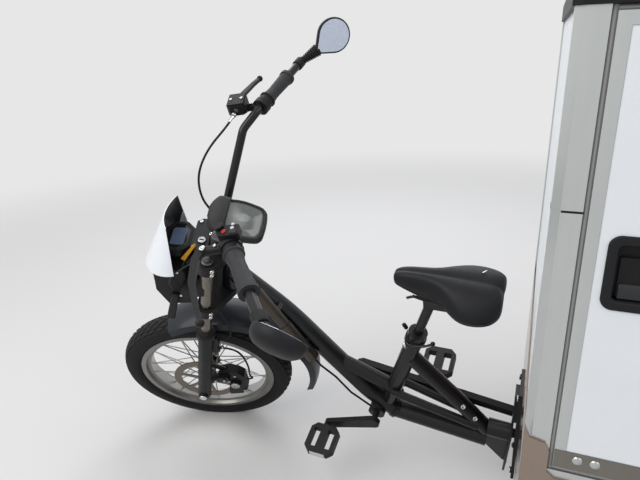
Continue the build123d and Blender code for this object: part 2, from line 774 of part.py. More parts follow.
def saddle():
    sections = []
    for y, half, low, high in SADDLE_TABLE:
        corner = 0.8 * min(half, (high - low) / 2)
        face = RectangleRounded(2 * half, high - low, corner)
        sections.append(Plane((0, y, (high + low) / 2), x_dir=(1, 0, 0), z_dir=(0, 1, 0)) * face)
    notch = rod((0, 768, 700), (0, 768, 900), 38.0)
    return loft(sections, ruled=True) - notch


def under_cylinder():
    """The round housing with its sleeve beside the main tube, and the two clips that hold it."""
    start = Vector(46.5, 92, 730)
    end = Vector(46.5, 213, 488)
    way = (end - start).normalized()
    middle = start + (end - start) * 0.48
    body = rod(start, middle, 16.0) + rod(middle, end, 18.0)
    tube = bent_tube(MAIN_ROUTE, MAIN_TUBE_R + SEAT, MAIN_BENDS)
    for share in (0.3, 0.8):
        plane = Plane(start + (end - start) * share, x_dir=(1, 0, 0), z_dir=way)
        body += plane * Pos(-14, 0, 0) * Box(34, 24, 14) - tube
    return body


def frame_cable():
    """The cable from the round housing's foot down to the crank housing."""
    route = [(46.5, 213.2, 487.5), (45, 230, 454), (30, 262, 388), (30, 300, 326), (30, 355.6, 278.6)]
    return cord(route, 3.0, 16.0)


def chain_guard():
    """A long guard over the chain, on two tabs from the right side tube."""
    outline = [(300, 376), (318, 387), (756, 308), (756, 283), (318, 361)]
    inner = -CHAINRING_X + 12
    guard = side_plate(outline, inner - 20, 20)
    for y, low in ((432, 345), (592, 306)):
        guard += block((inner - 2, inner + 16), (y, y + 16), (low, low + 20)) - side_tube(-1, SEAT)
    return guard


def cranks():
    """Both crank arms, the spindle and the chainring."""
    whole = rod((-CRANK_X, 0, 0), (CRANK_X, 0, 0), SPINDLE_R)
    whole += rod((-CHAINRING_X - 3, 0, 0), (-CHAINRING_X + 3, 0, 0), CHAINRING_R)
    for side in (1, -1):
        low = min(side * CRANK_X, side * (CRANK_X + CRANK_T))
        eye = -side * CRANK
        whole += extrude(Plane.YZ.offset(low) * hull_face([(0, 0, 19), (eye, 0, 14)]), amount=CRANK_T)
        whole -= rod((low - 2, eye, 0), (low + CRANK_T + 2, eye, 0), 5.0 + RUN)
    return Pos(0, BB_Y, BB_Z) * whole.rotate(Axis.X, CRANK_ANGLE)


def pedal_centre(side):
    angle = radians(CRANK_ANGLE)
    return Vector(side * PEDAL_X, BB_Y - side * CRANK * cos(angle), BB_Z - side * CRANK * sin(angle))


def pedal(side):
    """A platform pedal with two windows, and its axle."""
    low = CRANK_X + CRANK_T + 7.0
    body = block((low, low + PEDAL_W), (-PEDAL_L / 2, PEDAL_L / 2), (-PEDAL_H / 2, PEDAL_H / 2))
    body = chamfer(body.edges().filter_by(Axis.Z), 16.0)
    for y in (-1, 1):
        body -= block((low + 16, low + PEDAL_W - 18), sorted((y * 12, y * 34)), (-20, 20))
    axle = rod((CRANK_X, 0, 0), (low + 10, 0, 0), 5.0)
    whole = body + axle
    if side < 0:
        whole = mirrored(whole)
    centre = pedal_centre(side)
    return Pos(0, centre.Y, centre.Z) * whole


# Chassis and box body

REAR_Y = BOX_Y + BOX_L
HALF_W = BOX_W / 2
DOOR_Y = BOX_Y + POST_W + DOOR_GAP
DOOR_END = DOOR_Y + SIDE_DOOR_L
DOOR_LOW = FLOOR_Z - 8.0
DOOR_HIGH = BOX_TOP - 8.0
WALL_X = (HALF_W - WALL_T - 2.0, HALF_W - 2.0)
SILL_TOP = FLOOR_Z - 16.0


def corner_post(side, end):
    """A post with a chamfered outer corner."""
    y0, y1 = (BOX_Y, BOX_Y + POST_W) if end < 0 else (REAR_Y - POST_W, REAR_Y)
    post = block((HALF_W - POST_W, HALF_W), (y0, y1), (SKIRT_HIGH, BOX_TOP))
    outer_y = y0 if end < 0 else y1
    edges = post.edges().filter_by(Axis.Z)
    corner = edges.sort_by(lambda e: hypot(e.center().X - HALF_W, e.center().Y - outer_y))[0]
    post = chamfer(corner, POST_CHAMFER)
    return post if side > 0 else mirrored(post)


# Hinge axes of the doors: x, y
SIDE_HINGE = (WALL_X[1] + HINGE_REACH, DOOR_END + 4.0)
REAR_HINGE = (HALF_W - POST_W, REAR_Y + HINGE_REACH)
HINGE_Z = [DOOR_LOW + 60.0, (DOOR_LOW + DOOR_HIGH - HINGE_L) / 2, DOOR_HIGH - 60.0 - HINGE_L]


def hinge_halves(hinge, away, outward, upper):
    """The leaves on a door or a post with their halves of the barrels."""
    away = Vector(*away)
    outward = Vector(*outward)
    halves = []
    for z in HINGE_Z:
        middle = z + HINGE_L / 2
        low, high = (middle + RUN / 2, z + HINGE_L) if upper else (z, middle - RUN / 2)
        halves.append(rod((*hinge, low), (*hinge, high), BARREL_R))
        # reach of the leaf and of its knuckle from the axis, low and high z
        for near, far, z0, z1 in ((7.0, LEAF_W, z, z + HINGE_L), (0.0, 8.0, low, high)):
            face = HINGE_REACH + 1.0
            one = Vector(*hinge) + away * near - outward * face
            two = Vector(*hinge) + away * far - outward * (HINGE_REACH - LEAF_T)
            halves.append(block(sorted((one.X, two.X)), sorted((one.Y, two.Y)), (z0, z1)))
    return halves


def body_posts():
    posts = [corner_post(side, end) for side in (-1, 1) for end in (-1, 1)]
    middle = block(WALL_X, (DOOR_END + DOOR_GAP, DOOR_END + DOOR_GAP + 40), (SILL_TOP, BOX_TOP))
    sill = block((WALL_X[0], HALF_W), (BOX_Y + POST_W, REAR_Y - POST_W), (SKIRT_HIGH, SILL_TOP))
    rear = hinge_halves(REAR_HINGE, (1, 0), (0, 1), True)
    hinges = hinge_halves(SIDE_HINGE, (0, 1), (1, 0), True) + rear + [mirrored(half) for half in rear]
    return posts[0] + posts[1:] + [middle, sill, mirrored(sill)] + hinges


FRONT_WALL_Y = (BOX_Y + 4.0, BOX_Y + 4.0 + WALL_T)


def front_wall():
    half = HALF_W - POST_W
    return block((-half, half), FRONT_WALL_Y, (FLOOR_Z - FLOOR_T, BOX_TOP))


def left_panel():
    start = DOOR_END + DOOR_GAP + 40
    return block(WALL_X, (start, REAR_Y - POST_W), (SILL_TOP, BOX_TOP))


def right_wall():
    return block((-WALL_X[1], -WALL_X[0]), (BOX_Y + POST_W, REAR_Y - POST_W), (SILL_TOP, BOX_TOP))


# Holes for tie-down rings in the floor
TIE_X = 760.0
TIE_Y = 1100.0
TIE_MID_Y = REAR_Y - BOX_L / 2
TIE_HOLE_R = 5.25


def cargo_floor():
    inner = HALF_W - POST_W
    floor_z = (FLOOR_Z - FLOOR_T, FLOOR_Z)
    plate = block((-WALL_X[0], WALL_X[0] - 6), (BOX_Y + POST_W, REAR_Y - POST_W), floor_z)
    tongue = block((-inner, inner), (FRONT_WALL_Y[1], REAR_Y - WALL_T - 10), floor_z)
    floor = plate + tongue
    for x in (-TIE_X / 2, TIE_X / 2):
        for y in (TIE_MID_Y - TIE_Y / 2, TIE_MID_Y + TIE_Y / 2):
            floor -= rod((x, y, FLOOR_Z - FLOOR_T - 1), (x, y, FLOOR_Z + 1), TIE_HOLE_R)
    return floor


def roof_cap():
    roof = block((-HALF_W - 4, HALF_W + 4), (BOX_Y - 4, REAR_Y + 4), (BOX_TOP, BOX_TOP + ROOF_H))
    roof = chamfer(roof.edges().filter_by(Axis.Z), POST_CHAMFER)
    roof = fillet(roof.faces().sort_by(Axis.Z)[-1].edges(), 20.0)
    inner = HALF_W - 20.0
    return roof - block((-inner, inner), (BOX_Y + 20, REAR_Y - 20), (BOX_TOP - 1, BOX_TOP + ROOF_H - 30))


def door_frame():
    frame = block(WALL_X, (DOOR_Y, DOOR_END), (DOOR_LOW, DOOR_HIGH))
    window_y = (DOOR_Y + DOOR_FRAME, DOOR_END - DOOR_FRAME)
    frame -= block((0, HALF_W), window_y, (DOOR_LOW + DOOR_SILL, DOOR_HIGH - DOOR_FRAME))
    return frame + hinge_halves(SIDE_HINGE, (0, -1), (1, 0), False)


HANDLE_Y = (864.0, 1010.0)
HANDLE_Z = (926.0, 1032.0)
LOCK_X = 60.0


def door_panel():
    low, high = WALL_X
    edge = DOOR_FRAME + SEAT
    panel_z = (DOOR_LOW + DOOR_SILL + SEAT, DOOR_HIGH - edge)
    panel = block((low, high - 1), (DOOR_Y + edge, DOOR_END - edge), panel_z)
    return panel - block((high - 20, high + 1), HANDLE_Y, HANDLE_Z)


def door_handle():
    """A recessed tray with a paddle in it."""
    high = WALL_X[1]
    g = SEAT
    y0, y1 = HANDLE_Y[0] + g, HANDLE_Y[1] - g
    z0, z1 = HANDLE_Z[0] + g, HANDLE_Z[1] - g
    tray = block((high - 20 + g, high + 1), (y0, y1), (z0, z1))
    tray -= block((high - 15, high + 2), (y0 + 4, y1 - 4), (z0 + 4, z1 - 4))
    return tray + block((high - 15, high - 9), (y0 + 14, y1 - 14), (z0 + 14, z1 - 30))


def rear_door(side):
    """A rear door with its hinge halves and its lock bar."""
    x0, x1 = (4.0, HALF_W - POST_W - 4.0)
    door = block((x0, x1), (REAR_Y - WALL_T, REAR_Y), (DOOR_LOW, DOOR_HIGH))
    door += hinge_halves(REAR_HINGE, (-1, 0), (0, 1), False)
    door += rod((LOCK_X, REAR_Y + 14, DOOR_LOW + 20), (LOCK_X, REAR_Y + 14, DOOR_HIGH - 20), 8.0)
    for z in (DOOR_LOW + 60, (DOOR_LOW + DOOR_HIGH) / 2, DOOR_HIGH - 60):
        door += block((LOCK_X - 14, LOCK_X + 14), (REAR_Y - 1, REAR_Y + 14), (z - 12, z + 12))
    return door if side > 0 else mirrored(door)


def skirt(side):
    """A metal skirt: a front leg over the post and a long panel with the wheel's arch."""
    x = HALF_W
    outline = [
        (BOX_Y, SKIRT_LEG_TOP + 24),
        (BOX_Y + 10, SKIRT_LEG_TOP),
        (BOX_Y + POST_W - 8, SKIRT_LEG_TOP - 6),
        (BOX_Y + POST_W, SKIRT_LEG_TOP - 20),
        (BOX_Y + POST_W, SKIRT_HIGH + 12),
        (BOX_Y + POST_W + 14, SKIRT_HIGH),
        (REAR_Y, SKIRT_HIGH),
        (REAR_Y, SKIRT_LOW),
        (BOX_Y, SKIRT_LOW),
    ]
    panel = side_plate(outline, x, SKIRT_T)
    arch_r = WHEEL_R + ARCH_ROOM
    panel -= rod((x - 5, AXLE_Y, WHEEL_R), (x + 10, AXLE_Y, WHEEL_R), arch_r)
    panel -= block((x - 5, x + 10), (AXLE_Y - arch_r, AXLE_Y + arch_r), (0, WHEEL_R))
    return panel if side > 0 else mirrored(panel)


def front_apron():
    reach = HALF_W - SKIRT_T
    return block((-reach, reach), (BOX_Y, BOX_Y + 8), (SKIRT_LOW, SKIRT_HIGH))


RAIL_TOP = FLOOR_Z - FLOOR_T
RAIL_LOW = RAIL_TOP - RAIL_H


def chassis_frame():
    """Two long rails under the floor."""
    rails = []
    for x in (-RAIL_HALF, RAIL_HALF):
        rails.append(block((x - RAIL_W / 2, x + RAIL_W / 2), (BOX_Y + 8, REAR_Y - 30), (RAIL_LOW, RAIL_TOP)))
    return Compound(rails)


def cross_members():
    """Bars between the rails and out to the skirts, the pivot's posts and the axle's hangers."""
    inside = RAIL_HALF - RAIL_W / 2 - SEAT
    outside = RAIL_HALF + RAIL_W / 2 + SEAT
    parts = []
    for y in (BOX_Y + 8, AXLE_Y - 240, AXLE_Y + 240, REAR_Y - 80):
        for x in ((-HALF_W, -outside), (-inside, inside), (outside, HALF_W)):
            parts.append(block(x, (y, y + CROSS_L), (RAIL_LOW, SKIRT_HIGH)))
    for x in (-60, 10):
        parts.append(block((x, x + 50), (BOX_Y + 8, BOX_Y + 8 + CROSS_L), (180, RAIL_LOW - SEAT)))
    top = RAIL_LOW - SEAT
    foot = WHEEL_R - 45
    outline = [(AXLE_Y - 190, top), (AXLE_Y + 190, top), (AXLE_Y + 50, foot), (AXLE_Y - 50, foot)]
    beam = rod((-HALF_W, AXLE_Y, WHEEL_R), (HALF_W, AXLE_Y, WHEEL_R), BEAM_R + SEAT)
    for x in (-RAIL_HALF, RAIL_HALF):
        parts.append(side_plate(outline, x - HANGER_T / 2, HANGER_T) - beam)
    return Compound(parts)


def lean_pivot():
    """The chassis side of the pivot: a plate with its stop block and its pin."""
    plate = block((-65, 65), (BOX_Y - 8, BOX_Y), (170, 440))
    stop = block((-28, 28), (BOX_Y - 19, BOX_Y - 7), (326, 412))
    pivot = Vector(0, PIVOT_Y, PIVOT_FLOOR_Z)
    return plate + stop + rod(pivot - LEAN_WAY * 22, pivot + LEAN_WAY * 42, PIVOT_PIN_R)


def rear_axle():
    reach = TRACK_HALF - HUB_MOTOR_HALF - 4
    beam = rod((-reach, AXLE_Y, WHEEL_R), (reach, AXLE_Y, WHEEL_R), BEAM_R)
    end = TRACK_HALF + HUB_MOTOR_HALF + 12
    return beam + rod((-end, AXLE_Y, WHEEL_R), (end, AXLE_Y, WHEEL_R), AXLE_R)


def battery_case():
    top = RAIL_TOP - SEAT
    return block((-BATTERY_HALF, BATTERY_HALF), BATTERY_Y, (top - BATTERY_H, top))


def rear_lamps():
    lamp = block((HALF_W - 120, HALF_W - 10), (REAR_Y - 30, REAR_Y + 4), (RAIL_LOW, SKIRT_HIGH))
    return both_sides(lamp)


def at_wheel(shape):
    return Pos(*WHEEL_CENTRE) * shape


def at_rear(shape, side):
    return Pos(side * TRACK_HALF, AXLE_Y, WHEEL_R) * shape


# Pieces that lean, and whether they also steer
DRIVER_PIECES = {
    "driver_frame": (driver_frame(), False),
    "seat_post": (seat_post(), False),
    "saddle": (saddle(), False),
    "under_cylinder": (under_cylinder(), False),
    "frame_cable": (frame_cable(), False),
    "chain_guard": (chain_guard(), False),
    "cranks": (cranks(), False),
    "left_pedal": (pedal(1), False),
    "right_pedal": (pedal(-1), False),
    "fork_clamps": (fork_clamps(), True),
    "stanchions": (stanchions(), True),
    "fork_legs": (fork_legs(), True),
    "mudguard": (mudguard(), True),
    "front_caliper": (caliper(), True),
    "brake_hoses": (brake_hoses(), True),
    "handlebar": (handlebar(), True),
    "grips": (grips(), True),
    "left_controls": (left_controls(), True),
    "right_controls": (right_controls(), True),
    "mirrors": (mirrors(), True),
    "fairing": (fairing(), True),
    "lamp_housing": (lamp_housing(), True),
    "headlamp": (headlamp(), True),
    "display": (display(), True),
    "instrument_plate": (instrument_plate(), True),
    "phone_bag": (phone_bag(), True),
    "front_tyre": (at_wheel(tyre()), True),
    "front_rim": (at_wheel(rim() + front_hub()), True),
    "front_disc": (at_wheel(brake_disc()), True),
}

pieces = {
    "chassis_frame": chassis_frame(),
    "cross_members": cross_members(),
    "lean_pivot": lean_pivot(),
    "rear_axle": rear_axle(),
    "battery_case": battery_case(),
    "cargo_floor": cargo_floor(),
    "body_posts": body_posts(),
    "front_wall": front_wall(),
    "left_panel": left_panel(),
    "right_wall": right_wall(),
    "roof_cap": roof_cap(),
    "left_skirt": skirt(1),
    "right_skirt": skirt(-1),
    "front_apron": front_apron(),
    "rear_lamps": rear_lamps(),
    "door_frame": door_frame(),
    "door_panel": door_panel(),
    "door_handle": door_handle(),
    "rear_door_left": rear_door(1),
    "rear_door_right": rear_door(-1),
}
for name, (shape, steered) in DRIVER_PIECES.items():
    pieces[name] = Pos(0, 0, LIFT) * posed(shape, steered)
rear_wheel = rim() + rear_hub()
for side, word in ((1, "left"), (-1, "right")):
    pieces["rear_" + word + "_tyre"] = at_rear(tyre(), side)
    pieces["rear_" + word + "_rim"] = at_rear(rear_wheel, side)

# The origin lies on the floor under the middle of the whole vehicle.
whole = Compound(list(pieces.values())).bounding_box()
shift = Vector(-(whole.min.X + whole.max.X) / 2, -(whole.min.Y + whole.max.Y) / 2, 0)

os.makedirs("parts", exist_ok=True)
for name, shape in pieces.items():
    export_step(Pos(*shift) * shape, "parts/" + name + ".step")


def parked(point, steered):
    """Where a point of the driver section is on the parked vehicle."""
    return posed_point(point, steered) + Vector(0, 0, LIFT) + shift


print("shift", shift, "lift", LIFT)
print("box", whole.min + shift, whole.max + shift)
for name, point, way, steered in (
    ("lean", (0, PIVOT_Y, PIVOT_Z), LEAN_WAY, False),
    ("steer", fork_point(0), STEER_UP, False),
    ("front_wheel", WHEEL_CENTRE, Vector(1, 0, 0), True),
    ("cranks", (0, BB_Y, BB_Z), Vector(1, 0, 0), False),
    ("left_pedal", pedal_centre(1), Vector(1, 0, 0), False),
    ("right_pedal", pedal_centre(-1), Vector(1, 0, 0), False),
):
    here = parked(point, steered)
    there = parked(Vector(*point) + way, steered)
    print(name, "pos_m", [round(v / 1000, 6) for v in here], "axis", [round(v, 6) for v in there - here])
for name, point in (
    ("rear_wheels", (0, AXLE_Y, WHEEL_R)),
    ("side_door", (*SIDE_HINGE, 0)),
    ("rear_door_left", (*REAR_HINGE, 0)),
):
    print(name, "pos_m", [round(v / 1000, 6) for v in Vector(*point) + shift])
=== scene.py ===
import json
from math import cos, pi, radians, sin

import bmesh
import bpy
from mathutils import Matrix, Vector, geometry, noise


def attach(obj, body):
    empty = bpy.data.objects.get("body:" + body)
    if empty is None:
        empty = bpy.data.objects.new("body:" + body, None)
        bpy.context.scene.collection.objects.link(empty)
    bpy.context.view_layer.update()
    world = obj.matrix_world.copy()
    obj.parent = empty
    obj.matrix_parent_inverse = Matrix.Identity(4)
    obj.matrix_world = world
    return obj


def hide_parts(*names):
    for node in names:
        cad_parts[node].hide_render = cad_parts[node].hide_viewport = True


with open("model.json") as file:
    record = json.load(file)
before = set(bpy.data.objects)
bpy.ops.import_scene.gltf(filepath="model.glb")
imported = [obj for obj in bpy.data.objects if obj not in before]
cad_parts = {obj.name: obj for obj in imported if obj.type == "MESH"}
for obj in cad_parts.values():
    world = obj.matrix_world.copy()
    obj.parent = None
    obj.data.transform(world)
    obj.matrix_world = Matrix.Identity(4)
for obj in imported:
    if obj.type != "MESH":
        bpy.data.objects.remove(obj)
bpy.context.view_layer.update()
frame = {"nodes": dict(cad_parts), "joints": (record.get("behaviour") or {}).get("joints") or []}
nodes = frame["nodes"]
joints = {joint["name"]: joint for joint in frame["joints"]}

# The driver section is drawn upright with its wheel straight ahead, in metres, as the solids are:
# y = 0 on the steering axis at HEAD_Z. It is then steered and leaned into its parked pose.
LEAN = radians(20.8)
STEER = radians(18.6)
RAKE = radians(20.2)
HEAD_Z = 0.750
FORK_OFFSET = 0.055
FORK_HALF = 0.0885
AXLE_DROP = 0.544
PIVOT = Vector((0, 0.730, 0.265))
PIVOT_DROP = radians(3.7)
STEER_UP = Vector((0, sin(RAKE), cos(RAKE)))
STEER_AHEAD = Vector((0, -cos(RAKE), sin(RAKE)))
LEFT = Vector((1, 0, 0))
FORWARD = Vector((0, -1, 0))
UP = Vector((0, 0, 1))
LEAN_WAY = Vector((0, cos(PIVOT_DROP), -sin(PIVOT_DROP)))

pivot = Vector(joints["lean"]["pos_m"])
LEANED = Matrix.Translation(pivot) @ Matrix.Rotation(LEAN, 4, LEAN_WAY) @ Matrix.Translation(-PIVOT)
HEAD = Vector((0, 0, HEAD_Z))
STEERED = LEANED @ Matrix.Translation(HEAD) @ Matrix.Rotation(STEER, 4, STEER_UP) @ Matrix.Translation(-HEAD)
BOX_SHIFT = Vector((pivot.x, pivot.y - PIVOT.y, 0))
GROUNDED = Matrix.Translation(BOX_SHIFT)


def fork_point(along, ahead=0.0, x=0.0):
    """A point by its way up the steering axis and its offset ahead of it, drawn upright."""
    return HEAD + STEER_UP * along + STEER_AHEAD * ahead + LEFT * x


WHEEL_CENTRE = fork_point(-AXLE_DROP, FORK_OFFSET)

# Camera, read from the photograph
EYE = Vector((1.3258, 0.7526, 1.3094)) + BOX_SHIFT
YAW = radians(22.60)
PITCH = radians(20.11)
ROLL = radians(-1.86)
LENS = 30.253
PRINCIPAL_SHIFT = -1 / 640


def make_camera():
    view = Vector((-cos(YAW) * cos(PITCH), -sin(YAW) * cos(PITCH), -sin(PITCH)))
    level = Vector((-sin(YAW), cos(YAW), 0))
    upright = level.cross(view)
    right = level * cos(ROLL) + upright * sin(ROLL)
    up = upright * cos(ROLL) - level * sin(ROLL)
    turn = Matrix((right, up, -view)).transposed().to_4x4()
    camera = bpy.data.objects.new("camera", bpy.data.cameras.new("camera"))
    camera.data.lens = LENS
    camera.data.shift_x = PRINCIPAL_SHIFT
    camera.data.clip_start = 0.05
    camera.matrix_world = Matrix.Translation(EYE) @ turn
    bpy.context.scene.collection.objects.link(camera)
    bpy.context.scene.camera = camera


make_camera()


# Finishes


class Value:
    """An output socket. Arithmetic on it adds Math nodes to the tree that it belongs to."""

    def __init__(self, owner, socket):
        self.owner = owner
        self.socket = socket

    def maths(self, operation, *values):
        return self.owner.add("ShaderNodeMath", {"operation": operation}, dict(enumerate(values)))

    def __add__(self, other):
        return self.maths("ADD", self, other)

    def __sub__(self, other):
        return self.maths("SUBTRACT", self, other)

    def __rsub__(self, other):
        return self.maths("SUBTRACT", other, self)

    def __mul__(self, other):
        return self.maths("MULTIPLY", self, other)

    def __gt__(self, other):
        return self.maths("GREATER_THAN", self, other)

    __radd__ = __add__
    __rmul__ = __mul__

    def clamped(self):
        return self.maths("MINIMUM", self.maths("MAXIMUM", self, 0.0), 1.0)

    def sine(self):
        return self.maths("SINE", self)

    def root(self):
        return self.maths("SQRT", self)

    def over(self, low, high):
        """0 below low, 1 above high, and smooth between."""
        return self.owner.add("ShaderNodeMapRange", {"interpolation_type": "SMOOTHSTEP"},
                              {"Value": self, "From Min": low, "From Max": high})


class Nodes:
    """The nodes of a material or of the world."""

    def __init__(self, tree):
        self.tree = tree

    def plug(self, socket, value):
        if isinstance(value, Value):
            self.tree.links.new(value.socket, socket)
        elif isinstance(value, tuple) and len(value) == 3 and socket.type == "RGBA":
            socket.default_value = (*value, 1.0)
        else:
            socket.default_value = value

    def add(self, kind, settings=None, sockets=None, output=0):
        """A node of a kind: its settings come first, then the values or links of its sockets."""
        node = self.tree.nodes.new(kind)
        for name, setting in (settings or {}).items():
            setattr(node, name, setting)
        for name, value in (sockets or {}).items():
            self.plug(node.inputs[name], value)
        return Value(self, node.outputs[output])


class Finish(Nodes):
    """A material, built up from its nodes."""

    def __init__(self, name):
        self.material = bpy.data.materials.new(name)
        self.material.use_nodes = True
        super().__init__(self.material.node_tree)
        self.surface = self.tree.nodes["Principled BSDF"]

    def set(self, **sockets):
        for name, value in sockets.items():
            self.plug(self.surface.inputs[name.replace("_", " ")], value)
        return self

    def place(self):
        """Where a point lies at rest, in metres."""
        return self.add("ShaderNodeTexCoord", output="Object")

    def axes(self, vector=None):
        parts = self.add("ShaderNodeSeparateXYZ", sockets={0: vector or self.place()})
        return [Value(self, parts.socket.node.outputs[i]) for i in range(3)]

    def noise(self, scale, detail=3.0, roughness=0.5, stretch=None):
        vector = self.place()
        if stretch:
            vector = self.add("ShaderNodeMapping", {}, {"Vector": vector, "Scale": stretch})
        return self.add("ShaderNodeTexNoise", {}, {
            "Vector": vector, "Scale": scale, "Detail": detail, "Roughness": roughness})

    def dot(self, first, second):
        return self.add("ShaderNodeVectorMath", {"operation": "DOT_PRODUCT"}, {0: first, 1: second}, "Value")

    def mix(self, factor, first, second):
        """A colour between two others."""
        return self.add("ShaderNodeMix", {"data_type": "RGBA"}, {0: factor, 6: first, 7: second}, 2)

    def bump(self, height, strength, distance):
        return self.set(Normal=self.add("ShaderNodeBump", {}, {
            "Height": height, "Strength": strength, "Distance": distance}))

    def upward(self):
        """1 on faces that look up, where dust settles."""
        normal = self.add("ShaderNodeNewGeometry", output="Normal")
        return self.axes(normal)[2].over(0.35, 0.95)

    def wheel_radius(self, centre, axle):
        """Distance from an axle's line, in metres."""
        offset = self.add("ShaderNodeVectorMath", {"operation": "SUBTRACT"},
                          {0: self.place(), 1: tuple(centre)})
        along = self.dot(offset, tuple(axle))
        return (self.dot(offset, offset) - along * along).root()


DUST = (0.10, 0.095, 0.09)


def dusty(finish, colour, amount):
    """A colour with slight clouding and with dust on what looks up."""
    cloud = finish.noise(9.0, 5.0, 0.6)
    clouded = finish.mix(cloud * 0.35, colour, tuple(0.75 * c + 0.002 for c in colour))
    grit = finish.noise(110.0, 3.0, 0.6).over(0.38, 0.72)
    return finish.mix((finish.upward() * (grit * 0.4 + 0.6) * (amount * 0.55)).clamped(), clouded, DUST)


def painted(name, colour, roughness, coat=0.0, dust=0.3):
    """Paint with a little orange peel."""
    finish = Finish(name)
    wear = finish.noise(35.0, 4.0, 0.6)
    finish.set(Base_Color=dusty(finish, colour, dust),
               Roughness=wear * 0.16 + (roughness - 0.08), Coat_Weight=coat, Coat_Roughness=0.12,
               Specular_IOR_Level=0.22)
    return finish.bump(finish.noise(900.0, 2.0), 0.08, 0.0004).material


def moulded(name, colour, roughness, grain=0.2, dust=0.3):
    """Moulded plastic or rubber with a fine grain."""
    finish = Finish(name)
    finish.set(Base_Color=dusty(finish, colour, dust),
               Roughness=finish.noise(60.0, 3.0) * 0.14 + (roughness - 0.07), Specular_IOR_Level=0.22)
    return finish.bump(finish.noise(1600.0, 2.0), grain, 0.0003).material


def brushed(name, colour, roughness, stretch, tint=0.12):
    """Metal with fine lines; stretch is small along them."""
    finish = Finish(name)
    lines = finish.noise(14.0, 4.0, 0.65, stretch=stretch)
    cloud = finish.noise(7.0, 3.0)
    darker = tuple(c * (1 - 2 * tint) for c in colour)
    finish.set(Base_Color=finish.mix(lines * 0.7 + cloud * 0.3, darker, colour), Metallic=1.0,
               Roughness=lines * 0.18 + (roughness - 0.09))
    return finish.bump(lines, 0.06, 0.0003).material


def bright(name, colour=(0.72, 0.72, 0.73), roughness=0.14):
    finish = Finish(name)
    finish.set(Base_Color=colour, Metallic=1.0,
               Roughness=finish.noise(120.0, 2.0) * 0.12 + (roughness - 0.04))
    return finish.material


# Radii on the wheels, in metres: where each mark on the tyre begins and is full, and where the spokes end
DRY_TREAD = (0.262, 0.283)
RINGS_INNER = (0.236, 0.240)
RINGS_OUTER = (0.256, 0.259)
SPOKES_END = (0.1968, 0.1975)
FRONT_HUB_R = 0.032
REAR_HUB_R = 0.089
# Rings on the side wall, as radians a metre
RING_PITCH = 1400.0


def tyre_rubber(name, centre, axle):
    """Rubber with rings moulded in its sidewall and dry dust on its tread."""
    finish = Finish(name)
    radius = finish.wheel_radius(centre, axle)
    patches = finish.noise(30.0, 5.0, 0.65)
    worn = (radius.over(*DRY_TREAD) * 0.55 + patches * 0.35).clamped()
    finish.set(Base_Color=finish.mix(worn, (0.005, 0.0053, 0.0056), (0.026, 0.025, 0.024)),
               Roughness=patches * 0.2 + 0.6, Specular_IOR_Level=0.2)
    rings = (radius * RING_PITCH).sine() * radius.over(*RINGS_INNER) * (1 - radius.over(*RINGS_OUTER))
    return finish.bump(rings * 0.5 + finish.noise(700.0, 3.0) * 0.5, 0.35, 0.0012).material


def wheel_metal(name, centre, axle, hub_r):
    """Silver rim and steel spokes round a dark hub."""
    finish = Finish(name)
    radius = finish.wheel_radius(centre, axle)
    cloud = finish.noise(25.0, 4.0, 0.6)
    rim = finish.mix(cloud, (0.20, 0.195, 0.185), (0.31, 0.305, 0.29))
    metal = finish.mix(radius.over(*SPOKES_END), (0.42, 0.42, 0.41), rim)
    hub = 1 - radius.over(hub_r, hub_r + 0.002)
    finish.set(Base_Color=finish.mix(hub, metal, (0.05, 0.05, 0.05)), Metallic=1.0,
               Roughness=cloud * 0.2 + 0.24)
    return finish.bump(finish.noise(400.0, 2.0), 0.06, 0.0003).material


def lined(name, outer, inner, rearward):
    """Gloss shell whose side that looks back is lined in a dark colour."""
    finish = Finish(name)
    normal = finish.add("ShaderNodeTexCoord", output="Normal")
    lining = finish.dot(normal, tuple(rearward)) > 0.25
    finish.set(Base_Color=finish.mix(lining, outer, inner), Roughness=lining * 0.3 + 0.2,
               Coat_Weight=0.5 - lining * 0.4)
    return finish.bump(finish.noise(500.0, 2.0), 0.03, 0.0003).material


def lens_glass(name, colour=(0.85, 0.87, 0.9)):
    """Glass with upright ribs."""
    finish = Finish(name)
    ribs = finish.axes()[0] * 900.0
    finish.set(Base_Color=colour, Roughness=0.06, Coat_Weight=0.6, Specular_IOR_Level=0.8)
    return finish.bump(ribs.sine(), 0.3, 0.0008).material


def lcd(name, colour, roughness):
    """Smooth cover glass with faint smears."""
    finish = Finish(name)
    smear = finish.noise(40.0, 3.0, 0.6)
    finish.set(Base_Color=finish.mix(smear * 0.4, colour, tuple(1.25 * c for c in colour)),
               Roughness=smear * 0.1 + roughness, Coat_Weight=0.8, Coat_Roughness=0.05)
    return finish.material


def cloth(name, colour, threads):
    """Coated cloth with a fine crossed weave."""
    finish = Finish(name)
    x, y, z = finish.axes()
    weave = ((x + z) * threads).sine() * ((y - z) * threads).sine()
    finish.set(Base_Color=dusty(finish, colour, 0.35), Roughness=finish.noise(50.0) * 0.15 + 0.62)
    return finish.bump(weave * 0.5 + finish.noise(90.0, 3.0) * 0.5, 0.35, 0.0006).material


def film(name):
    """Clear film, rougher and with a painted highlight where it is folded."""
    finish = Finish(name)
    crease_highlight = finish.noise(11.0, 2.0, 0.5).over(0.42, 0.66)
    # The paler colour where the film is folded is a painted highlight.
    finish.set(Base_Color=finish.mix(crease_highlight, (0.10, 0.11, 0.105), (0.24, 0.255, 0.245)),
               Roughness=crease_highlight * 0.1 + 0.1, Alpha=0.93, Coat_Weight=0.7)
    return finish.bump(finish.noise(16.0, 2.0), 0.5, 0.006).material


def joint_line(name):
    joint = joints[name]
    return joint["pos_m"], joint["axis"]


# Colours as they are under plain light
SATIN_BLACK = (0.0042, 0.0046, 0.0058)
COAL = (0.0055, 0.0058, 0.0066)

